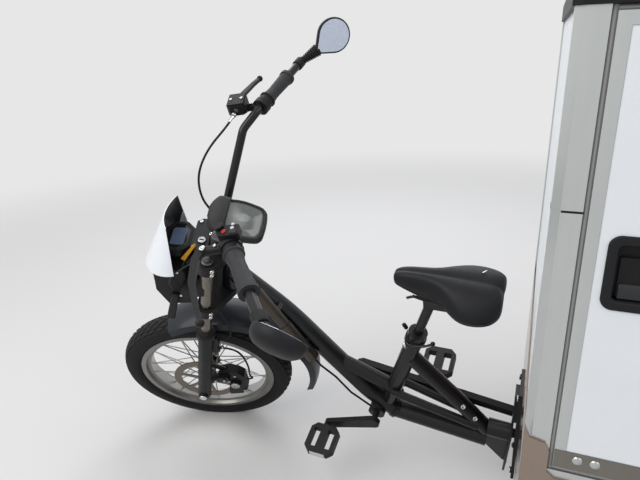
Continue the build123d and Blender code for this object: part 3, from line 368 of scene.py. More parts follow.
frame_paint = painted("satin_black_paint", SATIN_BLACK, 0.36, coat=0.25)
black_metal = painted("black_anodised", COAL, 0.42, dust=0.22)
chassis_paint = painted("chassis_paint", (0.012, 0.012, 0.013), 0.45)
panel_paint = painted("white_panel_paint", (0.72, 0.75, 0.77), 0.42, coat=0.2, dust=0.06)
REARWARD = STEERED.to_3x3() @ -FORWARD
white_gloss = lined("white_gloss", (0.76, 0.79, 0.82), (0.020, 0.021, 0.023), REARWARD)
guard_plastic = painted("mudguard_plastic", (0.012, 0.016, 0.021), 0.4, coat=0.15, dust=0.16)
mirror_plastic = painted("mirror_plastic", (0.009, 0.0095, 0.011), 0.52, dust=0.1)
black_plastic = moulded("black_plastic", COAL, 0.5)
grey_plastic = moulded("grey_plastic", (0.026, 0.027, 0.030), 0.45)
grip_rubber = moulded("grip_rubber", (0.028, 0.029, 0.032), 0.6, grain=0.35)
saddle_skin = moulded("saddle_skin", (0.0065, 0.007, 0.0092), 0.5, grain=0.25, dust=0.14)
saddle_band = moulded("saddle_band", (0.007, 0.007, 0.008), 0.4, grain=0.25, dust=0.1)
floor_skin = moulded("floor_skin", (0.08, 0.08, 0.08), 0.6)
chrome = bright("chrome")
stanchion_metal = brushed("stanchion_metal", (0.22, 0.20, 0.17), 0.28, (1.0, 1.0, 0.05))
body_aluminium = brushed("body_aluminium", (0.66, 0.68, 0.68), 0.36, (1.0, 1.0, 0.03), 0.14)
# Brushed stainless steel; its brownish tint is a painted reflection of the ground.
skirt_metal = brushed("skirt_metal", (0.36, 0.29, 0.24), 0.16, (0.02, 0.6, 1.0))
strip_metal = brushed("strip_metal", (0.24, 0.225, 0.20), 0.3, (1.0, 0.03, 1.0))
disc_steel = brushed("disc_steel", (0.22, 0.185, 0.16), 0.32, (1.0, 1.0, 1.0))
axle_steel = brushed("axle_steel", (0.45, 0.45, 0.45), 0.35, (0.05, 1.0, 1.0))
headlamp_glass = lens_glass("headlamp_glass")
black_rubber = moulded("black_rubber", (0.009, 0.009, 0.0095), 0.6, grain=0.3, dust=0.15)
bolt_steel = bright("bolt_steel", (0.50, 0.50, 0.51), 0.26)
cap_metal = bright("cap_metal", (0.12, 0.12, 0.125), 0.3)
dark_slot = moulded("dark_slot", (0.004, 0.004, 0.004), 0.6)
pale_plastic = moulded("pale_plastic", (0.55, 0.56, 0.57), 0.4, dust=0.15)
red_plastic = moulded("red_plastic", (0.42, 0.02, 0.02), 0.4, dust=0.1)
mirror_glass = Finish("mirror_glass").set(Base_Color=(0.60, 0.63, 0.72), Metallic=1.0, Roughness=0.0).material
seal_grey = moulded("seal_grey", (0.27, 0.27, 0.26), 0.55, dust=0.05)
yellow_plastic = moulded("yellow_plastic", (0.62, 0.30, 0.01), 0.4, dust=0.05)
sleeve_brown = brushed("sleeve_brown", (0.085, 0.075, 0.065), 0.4, (1.0, 0.3, 0.3))
lcd_glass = lcd("lcd_glass", (0.008, 0.009, 0.011), 0.14)
lcd_window = lcd("lcd_window", (0.115, 0.155, 0.245), 0.16)
bag_cloth = cloth("bag_cloth", (0.010, 0.0105, 0.0115), 1500.0)
bag_edge = cloth("bag_edge", (0.0075, 0.0075, 0.008), 2200.0)
clear_film = film("clear_film")
red_glass = lens_glass("red_lens", (0.35, 0.01, 0.01))

WHEELS = {
    "front": joint_line("front_wheel"),
    "rear_left": joint_line("rear_wheel_left"),
    "rear_right": joint_line("rear_wheel_right"),
}
FINISH_OF = {
    "chassis_frame": chassis_paint, "cross_members": chassis_paint, "brake_hoses": black_plastic,
    "frame_cable": black_plastic, "lean_pivot": chassis_paint, "rear_axle": axle_steel,
    "battery_case": black_plastic, "cargo_floor": floor_skin, "body_posts": body_aluminium,
    "front_wall": panel_paint, "left_panel": panel_paint, "right_wall": panel_paint,
    "roof_cap": black_plastic, "left_skirt": skirt_metal, "right_skirt": skirt_metal,
    "front_apron": skirt_metal, "rear_lamps": red_glass, "door_frame": body_aluminium,
    "door_panel": panel_paint, "door_handle": black_plastic, "rear_door_left": panel_paint,
    "rear_door_right": panel_paint, "driver_frame": frame_paint, "seat_post": frame_paint,
    "saddle": saddle_skin, "under_cylinder": sleeve_brown, "chain_guard": mirror_plastic,
    "cranks": black_metal, "left_pedal": black_plastic, "right_pedal": black_plastic,
    "fork_clamps": black_metal, "stanchions": stanchion_metal, "fork_legs": black_metal,
    "mudguard": guard_plastic, "front_caliper": black_metal, "handlebar": frame_paint,
    "grips": grip_rubber, "left_controls": black_plastic, "right_controls": black_plastic,
    "mirrors": mirror_plastic, "fairing": white_gloss, "lamp_housing": black_plastic,
    "headlamp": headlamp_glass, "display": black_plastic, "instrument_plate": grey_plastic,
    "phone_bag": grey_plastic, "front_disc": disc_steel,
}
for side, (centre, axle) in WHEELS.items():
    hub_r = FRONT_HUB_R if side == "front" else REAR_HUB_R
    FINISH_OF[side + "_tyre"] = tyre_rubber(side + "_tyre_rubber", centre, axle)
    FINISH_OF[side + "_rim"] = wheel_metal(side + "_wheel_metal", centre, axle, hub_r)
for name, material in FINISH_OF.items():
    node = nodes[name]
    node.data.materials.clear()
    node.data.materials.append(material)


# Making pieces


def add_piece(name, mesh, material, body, place=None, bevel=0.0, smooth=True):
    """An object from a mesh drawn in metres, put in its place and riding on a body."""
    if place is not None:
        mesh.transform(place)
    for face in mesh.polygons:
        face.use_smooth = smooth
    piece = bpy.data.objects.new(name, mesh)
    bpy.context.scene.collection.objects.link(piece)
    mesh.materials.append(material)
    if bevel:
        edge = piece.modifiers.new("edge", "BEVEL")
        edge.width = bevel
        edge.segments = 2
        edge.limit_method = "ANGLE"
        edge.angle_limit = radians(40)
    if smooth:
        shade = piece.modifiers.new("shade", "WEIGHTED_NORMAL")
        shade.keep_sharp = True
    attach(piece, body)
    return piece


def mesh_from(name, points, faces):
    mesh = bpy.data.meshes.new(name)
    mesh.from_pydata([tuple(point) for point in points], [], faces)
    mesh.update()
    return mesh


class Form:
    """Points and faces that are gathered into one mesh."""

    def __init__(self):
        self.points = []
        self.faces = []

    def add(self, points, faces):
        start = len(self.points)
        self.points += [Vector(point) for point in points]
        self.faces += [tuple(start + i for i in face) for face in faces]
        return self

    def lathe(self, origin, way, profile, segments=24):
        """A turned form; the profile is (way along the axis, radius)."""
        origin, way = Vector(origin), Vector(way).normalized()
        side = way.orthogonal().normalized()
        other = way.cross(side)
        points = []
        for reach, radius in profile:
            for i in range(segments):
                angle = 2 * pi * i / segments
                points.append(origin + way * reach + (side * cos(angle) + other * sin(angle)) * radius)
        faces = [tuple(reversed(range(segments)))]
        for row in range(len(profile) - 1):
            for i in range(segments):
                a, b = row * segments + i, row * segments + (i + 1) % segments
                faces.append((a, b, b + segments, a + segments))
        last = (len(profile) - 1) * segments
        faces.append(tuple(range(last, last + segments)))
        return self.add(points, faces)

    def bolt(self, origin, way, radius, height):
        """A round head with a hexagonal socket."""
        origin, way = Vector(origin), Vector(way).normalized()
        head = [(0, radius), (height * 0.8, radius), (height, radius * 0.85), (height, radius * 0.55),
                (height * 0.35, radius * 0.5)]
        return self.lathe(origin, way, head, 12)

    def nut(self, origin, way, radius, height):
        """A hexagonal head."""
        return self.lathe(origin, way, [(0, radius), (height * 0.85, radius), (height, radius * 0.88)], 6)

    def slab(self, corners, way, thickness):
        """A flat plate: its outline and the way in which it is thick."""
        way = Vector(way).normalized() * thickness
        count = len(corners)
        points = [Vector(corner) for corner in corners]
        points += [point + way for point in points]
        faces = [tuple(reversed(range(count))), tuple(range(count, 2 * count))]
        faces += [(i, (i + 1) % count, (i + 1) % count + count, i + count) for i in range(count)]
        return self.add(points, faces)

    def block(self, x, y, z):
        corners = [(x[0], y[0], z[0]), (x[1], y[0], z[0]), (x[1], y[1], z[0]), (x[0], y[1], z[0])]
        return self.slab(corners, (0, 0, 1), z[1] - z[0])

    def grid(self, rows, closed_rows=False, closed_columns=False, caps=()):
        """A skin over rows of points; caps names the rows that are filled."""
        count = len(rows[0])
        points = [point for row in rows for point in row]
        faces = []
        for j in range(len(rows) - (0 if closed_rows else 1)):
            for i in range(count - (0 if closed_columns else 1)):
                k, m = (j + 1) % len(rows), (i + 1) % count
                faces.append((j * count + i, j * count + m, k * count + m, k * count + i))
        for row in caps:
            first = row % len(rows) * count
            faces.append(tuple(range(first, first + count)))
        return self.add(points, faces)

    def mesh(self, name):
        """The mesh of all that was added, with its faces turned outwards."""
        mesh = mesh_from(name, self.points, self.faces)
        shape = bmesh.new()
        shape.from_mesh(mesh)
        bmesh.ops.recalc_face_normals(shape, faces=shape.faces)
        shape.to_mesh(mesh)
        shape.free()
        return mesh


def add_form(name, form, material, body, place, bevel=0.0, smooth=True):
    return add_piece(name, form.mesh(name), material, body, place, bevel, smooth)


def fork_form(name, form, material, place=STEERED, bevel=0.0, smooth=True):
    return add_form(name, form, material, "fork", place, bevel, smooth)


def round_off(piece, levels):
    rounder = piece.modifiers.new("rounder", "SUBSURF")
    rounder.levels = rounder.render_levels = levels


def thicken(piece, thickness):
    thick = piece.modifiers.new("thick", "SOLIDIFY")
    thick.thickness = thickness
    thick.offset = -1


def mm(*values):
    """A point given in millimetres."""
    return Vector(values) / 1000


# Signs of a rectangle's corners
SQUARE = [(-1, -1), (1, -1), (1, 1), (-1, 1)]

# Tyres: the carcass with its tread blocks stands for the plain CAD tyre
WHEEL_R = 0.287
CROWN_R = 0.054
CROWN_LOW = WHEEL_R - CROWN_R
CROWN_ANGLES = (-0.68, -0.45, -0.2, 0.0, 0.2, 0.45, 0.68)
RIM_R = 0.226
BEAD_HALF = 0.0277
BEAD_LOW = RIM_R - 0.0105
BEAD_HIGH = RIM_R + 0.001
WALL_HALF = 0.0352
# A side wall from its bead outwards: way from the tyre's middle, radius
SIDEWALL = [(-BEAD_HALF, BEAD_HIGH), (-WALL_HALF, RIM_R + 0.009), (-0.0378, 0.245), (-0.0374, 0.256)]
TYRE_STEPS = 96
TREAD_DEPTH = 0.0048
TREAD_STEPS = 54
TREAD_SKEW = 0.22
# Rows of blocks: middle and half width as angles on the crown, half length and shift as shares of the pitch
TREAD_ROWS = [(-0.50, 0.085, 0.33, 0.0), (-0.25, 0.09, 0.29, 0.5), (0.0, 0.10, 0.29, 0.0),
              (0.25, 0.09, 0.29, 0.5), (0.50, 0.085, 0.33, 0.0)]
# Foot and top of a block: way below the crown, and spread
BLOCK_ENDS = [(TREAD_DEPTH + 0.001, 1.12), (0.0002, 1.0)]
BLOCK_FACES = [(4, 5, 6, 7), (0, 1, 5, 4), (1, 2, 6, 5), (2, 3, 7, 6), (3, 0, 4, 7)]


def add_tyre(side, body):
    centre, axle = Vector(WHEELS[side][0]), Vector(WHEELS[side][1]).normalized()
    side_way = axle.orthogonal().normalized()
    other = axle.cross(side_way)

    def at(x, radius, angle):
        return centre + axle * x + (side_way * cos(angle) + other * sin(angle)) * radius

    def turned(section):
        return [[at(x, radius, 2 * pi * i / TYRE_STEPS) for x, radius in section] for i in range(TYRE_STEPS)]

    crown = [(CROWN_R * sin(a), CROWN_LOW + CROWN_R * cos(a)) for a in CROWN_ANGLES]
    wall = SIDEWALL + [(-WALL_HALF, crown[0][1] - 0.002)]
    carcass = wall + [(x, r - TREAD_DEPTH) for x, r in crown] + [(-x, r) for x, r in reversed(wall)]
    bead = [(-BEAD_HALF, BEAD_HIGH), (-BEAD_HALF, BEAD_LOW), (BEAD_HALF, BEAD_LOW), (BEAD_HALF, BEAD_HIGH)]
    form = Form().grid(turned(carcass), closed_rows=True).grid(turned(bead), closed_rows=True)
    pitch = 2 * pi / TREAD_STEPS
    for middle, half, length, shift in TREAD_ROWS:
        skew = TREAD_SKEW * (1 if middle >= 0 else -1)
        for i in range(TREAD_STEPS):
            corners = []
            for depth, spread in BLOCK_ENDS:
                for u, v in SQUARE:
                    lean = middle + u * half * spread
                    radius = CROWN_LOW + (CROWN_R - depth) * cos(lean)
                    angle = (i + shift + v * length * spread + u * skew) * pitch
                    corners.append(at((CROWN_R - depth) * sin(lean), radius, angle))
            form.add(corners, BLOCK_FACES)
    name = side + "_tyre_treaded"
    tyre = add_piece(name, form.mesh(name), FINISH_OF[side + "_tyre"], body)
    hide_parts(side + "_tyre")


add_tyre("front", "front_wheel")
add_tyre("rear_left", "rear_wheel_left")
add_tyre("rear_right", "rear_wheel_right")


# Saddle

# y, half width, low z and high z of its sections in millimetres, drawn upright
SADDLE_ROWS = [
    (466, 12, 806, 827), (472, 18, 800, 834), (492, 24, 793, 841), (532, 28, 775, 843), (560, 33, 774, 843),
    (580, 43, 774, 842), (598, 60, 774, 841), (618, 78, 774, 840), (640, 88, 775, 839), (668, 88, 776, 837),
    (693, 80, 778, 835), (709, 65, 782, 830), (717, 48, 790, 823),
]
# Share of the half width and of the height round half a section, from the middle of the top
SADDLE_RING = [(0.0, 0.95), (0.12, 0.99), (0.35, 1.0), (0.62, 0.97), (0.84, 0.86), (0.97, 0.66), (1.0, 0.46),
               (0.97, 0.40), (0.93, 0.36), (0.90, 0.12), (0.70, 0.0), (0.0, 0.0)]
# Place in the ring from which the smooth band round the foot begins
SADDLE_BAND = 7
# Notch, groove and wings in millimetres: where each begins, its run to full size, half width and depth.
# The wings have no half width.
NOTCH_Y, NOTCH_RUN, NOTCH_HALF, NOTCH_DEPTH = 690, 29, 36, 12
GROOVE_Y, GROOVE_RUN, GROOVE_HALF, GROOVE_DEPTH = 470, 60, 9, 0.9
WING_X, WING_RUN, WING_DROOP = 34, 40, 15


def saddle_point(y, half, low, high, across, up):
    """A point of a section, with the notch in the rear end, the groove on top and the drooping wings."""
    x = across * half
    notch = max(0.0, (y - NOTCH_Y) / NOTCH_RUN) * max(0.0, 1 - abs(x) / NOTCH_HALF)
    groove = max(0.0, 1 - abs(x) / GROOVE_HALF) * min(1.0, (y - GROOVE_Y) / GROOVE_RUN) if up > 0.9 else 0.0
    droop = max(0.0, min(1.0, (x - WING_X) / WING_RUN))
    z = low + (high - low) * up - WING_DROOP * droop - GROOVE_DEPTH * groove
    return mm(x, y - NOTCH_DEPTH * notch, z)


def add_saddle():
    rows = []
    for row in SADDLE_ROWS:
        ring = [saddle_point(*row, across, up) for across, up in SADDLE_RING]
        rows.append(ring + [Vector((-p.x, p.y, p.z)) for p in reversed(ring[1:-1])])
    form = Form().grid(rows, closed_columns=True, caps=(0, -1))
    saddle = add_form("saddle_cover", form, saddle_skin, "driver_section", LEANED)
    saddle.data.materials.append(saddle_band)
    count = len(rows[0])
    for index, face in enumerate(saddle.data.polygons):
        if index < (len(rows) - 1) * count and SADDLE_BAND - 1 <= index % count <= count - SADDLE_BAND:
            face.material_index = 1
    round_off(saddle, 2)
    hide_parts("saddle")


add_saddle()


# Fork and cockpit

SLIDER_TOP = -0.186
UPPER_CLAMP = 0.092
CLAMP_H = 0.028
LOWER_CLAMP = -0.090
EYE_R = 0.025
# How far the caps stand over the upper clamp, and how deep bolt heads are sunk in an eye
CAP_RISE = 0.004
BOLT_SINK = 0.0008
# Heights of the bolts over a clamp's lower face
CLAMP_BOLTS = (0.007, 0.021)
AXLE_NUT_X = 0.111
# The mudguard's lug on a leg: way along the fork, way out, and its bolt's seat before the lug's middle
GUARD_LUG = (-0.220, 0.0585, 0.0085)
RISER_BOLTS = [(x, y, 915.5) for x in (-24, 24) for y in (0.5, 24.5)]
# Caliper bolts over its pistons and on its feet, and the middle of its cover
PISTON_BOLTS = [(78, -160, 297), (78, -190, 297)]
FOOT_BOLTS = [(66, -125, 300), (66, -118, 205)]
CALIPER_COVER = (74, -137, 250)

# Radius and height of the heads of bolts, screws and nuts, in metres
CAP_NUT = (0.0085, 0.009)
STEM_NUT = (0.0125, 0.010)
AXLE_NUT = (0.0135, 0.0095)
CLAMP_BOLT = (0.0058, 0.005)
LUG_BOLT = (0.0045, 0.003)
RISER_BOLT = (0.0048, 0.0035)
PISTON_BOLT = (0.0055, 0.004)
SMALL_BOLT = (0.0048, 0.004)
PLATE_BOLT = (0.0052, 0.004)
LEVER_PIVOT = (0.0065, 0.005)
LEVER_SCREW = (0.0035, 0.003)
LID_SCREW = (0.0042, 0.0022)

# Turned profiles: way along the axis and radius, in metres
WIPER_LIP = [(-0.0005, 0.026), (0.003, 0.0255), (0.004, 0.0215), (0.010, 0.0205), (0.012, 0.0165),
             (0.012, 0.0152)]
WIPER_BAND = [(-0.013, 0.0272), (-0.012, 0.0278), (-0.006, 0.0278), (-0.005, 0.0272)]
FORK_CAP = [(0, 0.0148), (0.003, 0.0148), (0.0045, 0.013), (0.0045, 0.0085)]
COVER_RING = [(0, 0.0150), (0.002, 0.0150), (0.003, 0.0135), (0.003, 0.009), (0.001, 0.0085)]
DISPLAY_KEY = [(0, 0.0032), (0.0012, 0.0032), (0.0018, 0.0024)]
LOCK_FACE = [(0, 0.0100), (0.0008, 0.0100), (0.0014, 0.0090), (0.0010, 0.0075), (0.0010, 0.0)]
SMALL_BUTTON = [(-0.0003, 0.0036), (0.0018, 0.0034), (0.0022, 0.0)]
ROUND_BUTTON = [(-0.0003, 0.0042), (0.0018, 0.004), (0.0024, 0.0028), (0.0026, 0.0)]
RED_BUTTON = [(-0.0003, 0.0052), (0.0022, 0.005), (0.0032, 0.0035), (0.0034, 0.0)]
TANK_GLASS = [(-0.0005, 0.0062), (0.0008, 0.006), (0.0014, 0.0045), (0.0014, 0.0)]
BAR_COLLAR = [(0, 0.0122), (0.001, 0.0145), (0.024, 0.0145), (0.026, 0.012)]
LAMP_FRONT = (0, -197, 776)
LAMP_BEZEL = [(-0.003, 0.0499), (0.003, 0.0499), (0.006, 0.0485), (0.006, 0.0463), (-0.002, 0.0463)]


def add_fork_details():
    steel, wipers, caps = Form(), Form(), Form()
    for side in (-1, 1):
        x = side * FORK_HALF
        top = fork_point(SLIDER_TOP, FORK_OFFSET, x)
        wipers.lathe(top, STEER_UP, WIPER_LIP)
        wipers.lathe(top, STEER_UP, WIPER_BAND)
        cap = fork_point(UPPER_CLAMP + CLAMP_H + CAP_RISE, FORK_OFFSET, x)
        caps.lathe(cap, STEER_UP, FORK_CAP, 32)
        caps.nut(cap, STEER_UP, *CAP_NUT)
        way = Vector((side * 0.8, 0.6 * cos(RAKE), -0.6 * sin(RAKE)))
        for low in (LOWER_CLAMP, UPPER_CLAMP):
            for up in CLAMP_BOLTS:
                seat = fork_point(low + up, FORK_OFFSET, x) + way * (EYE_R - BOLT_SINK)
                steel.bolt(seat, way, *CLAMP_BOLT)
        steel.nut(WHEEL_CENTRE + LEFT * side * AXLE_NUT_X, LEFT * side, *AXLE_NUT)
        along, out, before = GUARD_LUG
        lug = fork_point(along, FORK_OFFSET, side * out)
        steel.bolt(lug + FORWARD * before, FORWARD, *LUG_BOLT)
    caps.nut(fork_point(UPPER_CLAMP + CLAMP_H), STEER_UP, *STEM_NUT)
    for spot in RISER_BOLTS:
        steel.bolt(mm(*spot), UP, *RISER_BOLT)
    fork_form("fork_wipers", wipers, black_rubber)
    fork_form("fork_fasteners", steel, chrome)
    fork_form("fork_caps", caps, cap_metal)
    brake = Form()
    for spot in PISTON_BOLTS:
        brake.bolt(mm(*spot), LEFT, *PISTON_BOLT)
    for spot in FOOT_BOLTS:
        brake.bolt(mm(*spot), LEFT, *SMALL_BOLT)
    brake.lathe(mm(*CALIPER_COVER), LEFT, COVER_RING)
    fork_form("caliper_bolts", brake, bolt_steel)


# The display's case lies in a frame of its own
CASE = STEERED @ Matrix.Translation(mm(0, -102, 889)) @ Matrix.Rotation(radians(-12), 4, "X")
# In that frame, in millimetres: half width, half height, corner cut and z
DISPLAY_GLASS = (41.4, 27.4, 16.6, 9.05)
DISPLAY_WINDOW = (30, 18, 4, 10.2)
DISPLAY_KEYS = [(x, y, 10.9) for x in (-45.5, 45.5) for y in (-8, 8)]


def octagon(half_x, half_y, cut, z):
    corners = [(half_x - cut, -half_y), (half_x, -half_y + cut),
               (half_x, half_y - cut), (half_x - cut, half_y)]
    corners += [(-x, -y) for x, y in corners]
    return [mm(x, y, z) for x, y in corners]


def add_display():
    glass = Form().slab(octagon(*DISPLAY_GLASS), UP, 0.0011)
    fork_form("display_glass", glass, lcd_glass, CASE)
    window = Form().slab(octagon(*DISPLAY_WINDOW), UP, 0.0003)
    fork_form("display_window", window, lcd_window, CASE)
    keys = Form()
    for spot in DISPLAY_KEYS:
        keys.lathe(mm(*spot), UP, DISPLAY_KEY, 16)
    fork_form("display_keys", keys, grey_plastic, CASE)


# On the plate over the upper clamp, as (x, way ahead): its bolts, the key lock and half of the key's slot
PLATE_BOLTS = [(-44, 94), (48, 98), (-40, 66)]
PLATE_TOP = 4
KEY_LOCK = (32, 79)
LOCK_TOP = 19
SLOT_HALF = (1.4, 5.5)


def plate_point(x, ahead, up):
    """A point over the upper clamp."""
    return fork_point(UPPER_CLAMP + CLAMP_H + up / 1000, ahead / 1000, x / 1000)


def add_instruments():
    silver = Form()
    for spot in PLATE_BOLTS:
        silver.bolt(plate_point(*spot, PLATE_TOP), STEER_UP, *PLATE_BOLT)
    silver.lathe(plate_point(*KEY_LOCK, LOCK_TOP), STEER_UP, LOCK_FACE, 28)
    fork_form("plate_bolts", silver, chrome)
    (x, y), (half_x, half_y) = KEY_LOCK, SLOT_HALF
    corners = [plate_point(x + u * half_x, y + v * half_y, LOCK_TOP + 1.1) for u, v in SQUARE]
    fork_form("key_slot", Form().slab(corners, STEER_UP, 0.0005), dark_slot)


# The grips' axis, from the handlebar's bend outwards on the left
BAR_BEND = mm(228, 137, 1093)
BAR_WAY = (mm(443, 237, 1099) - BAR_BEND).normalized()


def bar_point(distance):
    return BAR_BEND + BAR_WAY * distance / 1000


# Buttons on top of the left controls, in millimetres, and the slider between them in metres
SMALL_BUTTON_AT = (222, 158, 1126)
ROUND_BUTTON_AT = (232, 158, 1126)
RED_BUTTON_AT = (240, 142, 1126)
SWITCH_SLIDER = ((0.238, 0.247), (0.153, 0.168), (1.1258, 1.1285))
# Screws of both levers' clamps, drawn on the left, and of the brake fluid's tank on the right
LEVER_PIVOT_AT = (254, 92, 1098.5)
LEVER_SCREW_AT = (252, 118, 1102.0)
LID_SCREWS = [(-242, 74, 1127.8), (-242, 102, 1127.8)]
TANK_GLASS_AT = (-214, 88, 1110)


def add_controls():
    steel, red, pale = Form(), Form(), Form()
    pale.lathe(mm(*SMALL_BUTTON_AT), UP, SMALL_BUTTON, 16)
    pale.lathe(mm(*ROUND_BUTTON_AT), UP, ROUND_BUTTON, 20)
    red.lathe(mm(*RED_BUTTON_AT), UP, RED_BUTTON, 20)
    slider = Form().block(*SWITCH_SLIDER)
    for side in (1, -1):
        flip = Matrix.Diagonal((side, 1, 1))
        steel.bolt(flip @ mm(*LEVER_PIVOT_AT), UP, *LEVER_PIVOT)
        steel.bolt(flip @ mm(*LEVER_SCREW_AT), UP, *LEVER_SCREW)
    for spot in LID_SCREWS:
        steel.bolt(mm(*spot), UP, *LID_SCREW)
    fork_form("control_screws", steel, chrome)
    fork_form("red_button", red, red_plastic)
    fork_form("pale_buttons", pale, pale_plastic)
    fork_form("switch_slider", slider, grey_plastic, bevel=0.0008)
    gauge = Form().lathe(mm(*TANK_GLASS_AT), LEFT, TANK_GLASS, 20)
    fork_form("tank_window", gauge, lcd_glass)


# Mirrors: side, way and length of the neck, way of the housing's long axis, way that the glass faces
MIRRORS = [
    (1, (0.758, 0.476, 0.420), 0.091, (0.50, 0.40, 0.77), (-0.884, 0.402, 0.240)),
    (-1, (-0.445, 0.833, 0.328), 0.108, (-0.480, 0.790, 0.400), (0.847, 0.465, 0.260)),
]
# From a housing's front edge to its back: way along the glass's axis in millimetres, share of its outline
MIRROR_SHELL = [(13, 0.90), (13.6, 0.97), (12, 1.0), (6, 1.0), (-2, 0.97), (-9, 0.88), (-15, 0.70),
                (-18, 0.42), (-19, 0.12)]
# The glass: its seat, thickness and distance from the housing's outline
GLASS_SEAT = 0.0131
GLASS_THICK = 0.0011
GLASS_INSET = 0.0044
# Places of the mirror's clamp and of the grip's end collar, in millimetres from the bend
MIRROR_CLAMP_AT = 230
COLLAR_AT = 213
# Place along the housing and radius of the circles at its narrow and broad ends, and its middle
MIRROR_ENDS = [(0.062, 0.018), (0.107, 0.047)]
MIRROR_MIDDLE = 0.096
# The neck's bellows: its end in the housing, number of folds, first radius and growth of each
SLEEVE_END = 0.052
FOLDS = 8
FOLD_R = 0.0100
FOLD_GROWTH = 0.0009


def mirror_outline(inset):
    """Convex outline of a narrow and a broad end, as (way along, way across)."""
    ring = []
    for place, radius in MIRROR_ENDS:
        for angle in [i * pi / 24 for i in range(48)]:
            ring.append((place + (radius - inset) * cos(angle), (radius - inset) * sin(angle)))
    return [ring[i] for i in geometry.convex_hull_2d([Vector(p) for p in ring])]


def bellows(length):
    """Profile of a folded rubber sleeve that widens towards the housing."""
    fold = (length - 0.014) / FOLDS
    profile = [(0.004, 0.0095)]
    for i in range(FOLDS):
        start, radius = 0.012 + fold * i, FOLD_R + FOLD_GROWTH * i
        profile += [(start, radius - 0.0014), (start + 0.15 * fold, radius + 0.001),
                    (start + 0.65 * fold, radius + 0.001), (start + 0.8 * fold, radius - 0.0014)]
    return profile + [(length, 0.0150)]


def add_mirrors():
    shell, glass, neck = Form(), Form(), Form()
    outline, pane = mirror_outline(0.0), mirror_outline(GLASS_INSET)
    for side, neck_way, neck_length, long_way, glass_way in MIRRORS:
        flip = Matrix.Diagonal((side, 1, 1))
        clamp = flip @ bar_point(MIRROR_CLAMP_AT)
        long_way, glass_way = Vector(long_way).normalized(), Vector(glass_way)
        glass_way = (glass_way - long_way * long_way.dot(glass_way)).normalized()
        across = glass_way.cross(long_way)
        base = clamp + Vector(neck_way).normalized() * neck_length - long_way * MIRROR_MIDDLE
        rows = []
        for reach, share in MIRROR_SHELL:
            middle = base + glass_way * reach / 1000 + long_way * MIRROR_MIDDLE
            rows.append([middle + (long_way * (u - MIRROR_MIDDLE) + across * v) * share for u, v in outline])
        shell.grid(rows, closed_columns=True, caps=(0, -1))
        seat = base + glass_way * GLASS_SEAT
        glass.slab([seat + long_way * u + across * v for u, v in pane], glass_way, GLASS_THICK)
        neck.lathe(flip @ bar_point(COLLAR_AT), flip @ BAR_WAY, BAR_COLLAR, 28)
        sleeve = base + long_way * SLEEVE_END - clamp
        neck.lathe(clamp, sleeve, bellows(sleeve.length), 28)
    housing = fork_form("mirror_housings", shell, mirror_plastic)
    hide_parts("mirrors")
    fork_form("mirror_glasses", glass, mirror_glass)
    fork_form("mirror_bellows", neck, black_rubber)


def add_lamp():
    bezel = Form().lathe(mm(*LAMP_FRONT), FORWARD, LAMP_BEZEL, 48)
    fork_form("lamp_bezel", bezel, chrome)


add_fork_details()
add_display()
add_instruments()
add_controls()
add_mirrors()
add_lamp()


# Phone bag

# Its frame: z points out of the window
BAG = (STEERED @ Matrix.Translation(mm(15, 76, 942)) @ Matrix.Rotation(radians(-28), 4, "X")
       @ Matrix.Rotation(radians(24), 4, "Y"))
# Rings in that frame, in millimetres: half width, half length, corner radius, height
BAG_SHELL = [(36, 54, 24, -19), (45, 64, 28, -17), (51, 70, 31, -8), (53, 72, 32, 4), (52, 71, 32, 13),
             (48, 67, 30, 18)]
BAG_BORDER = [(50, 69, 31, 16.5), (49, 68, 30, 20.6), (46.5, 65.5, 28, 22.0), (43.5, 62.5, 27, 20.8),
              (43, 62, 26, 18.4)]
BAG_ZIP = (53.2, 72.2, 32, 4)
BAG_WINDOW = (44, 63, 27)
BAG_SAG = 2.0
RING_STEPS = 40
# The window: its height at its edge, how far it bows out, how high its wrinkles are
WINDOW_RINGS = 9
WINDOW_Z = 18.6
WINDOW_BOW = 2.6
WRINKLE = 2.4
# A tooth of the zip: half size, thickness and how far it is sunk, in metres
TOOTH_HALF = (0.0013, 0.0022)
TOOTH_THICK = 0.0018
TOOTH_SINK = 0.0015
# The hood: near end, length, half width, height, height of its foot, and how far it is off the middle
HOOD_STEPS = 8
HOOD_Y, HOOD_LENGTH, HOOD_HALF, HOOD_HIGH, HOOD_FOOT, HOOD_OFF = -74, 46, 46, 20, 16, -3


def rounded_ring(half_x, half_y, corner, z, sag=0.0):
    """A rounded outline, narrower at its near end, whose ends sag."""
    ring = []
    for i in range(RING_STEPS):
        angle = 2 * pi * (i + 0.5) / RING_STEPS
        c, s = cos(angle), sin(angle)
        y = (half_y - corner) * max(-1, min(1, 2.2 * s)) + corner * s
        taper = 1 - 0.16 * max(0.0, -y / half_y) - 0.06 * max(0.0, y / half_y)
        x = ((half_x - corner) * max(-1, min(1, 2.2 * c)) + corner * c) * taper
        ring.append(mm(x, y, z - sag * (y / half_y) ** 2))
    return ring


def window_form():
    """Clear film, bowed and a little wrinkled."""
    rows = []
    for step in range(WINDOW_RINGS):
        share = 1 - step / (WINDOW_RINGS - 0.5)
        rise = min(1.0, 2.5 * (1 - share))
        row = []
        for point in rounded_ring(*[share * size for size in BAG_WINDOW], 0):
            u, v = point.x * 1000, point.y * 1000
            wrinkle = noise.noise(Vector((u * 0.03, v * 0.022, 2.0))) * WRINKLE
            row.append(mm(u, v, WINDOW_Z + (WINDOW_BOW + wrinkle) * rise - BAG_SAG * (v / 64) ** 2))
        rows.append(row)
    return Form().grid(rows, closed_columns=True, caps=(-1,))


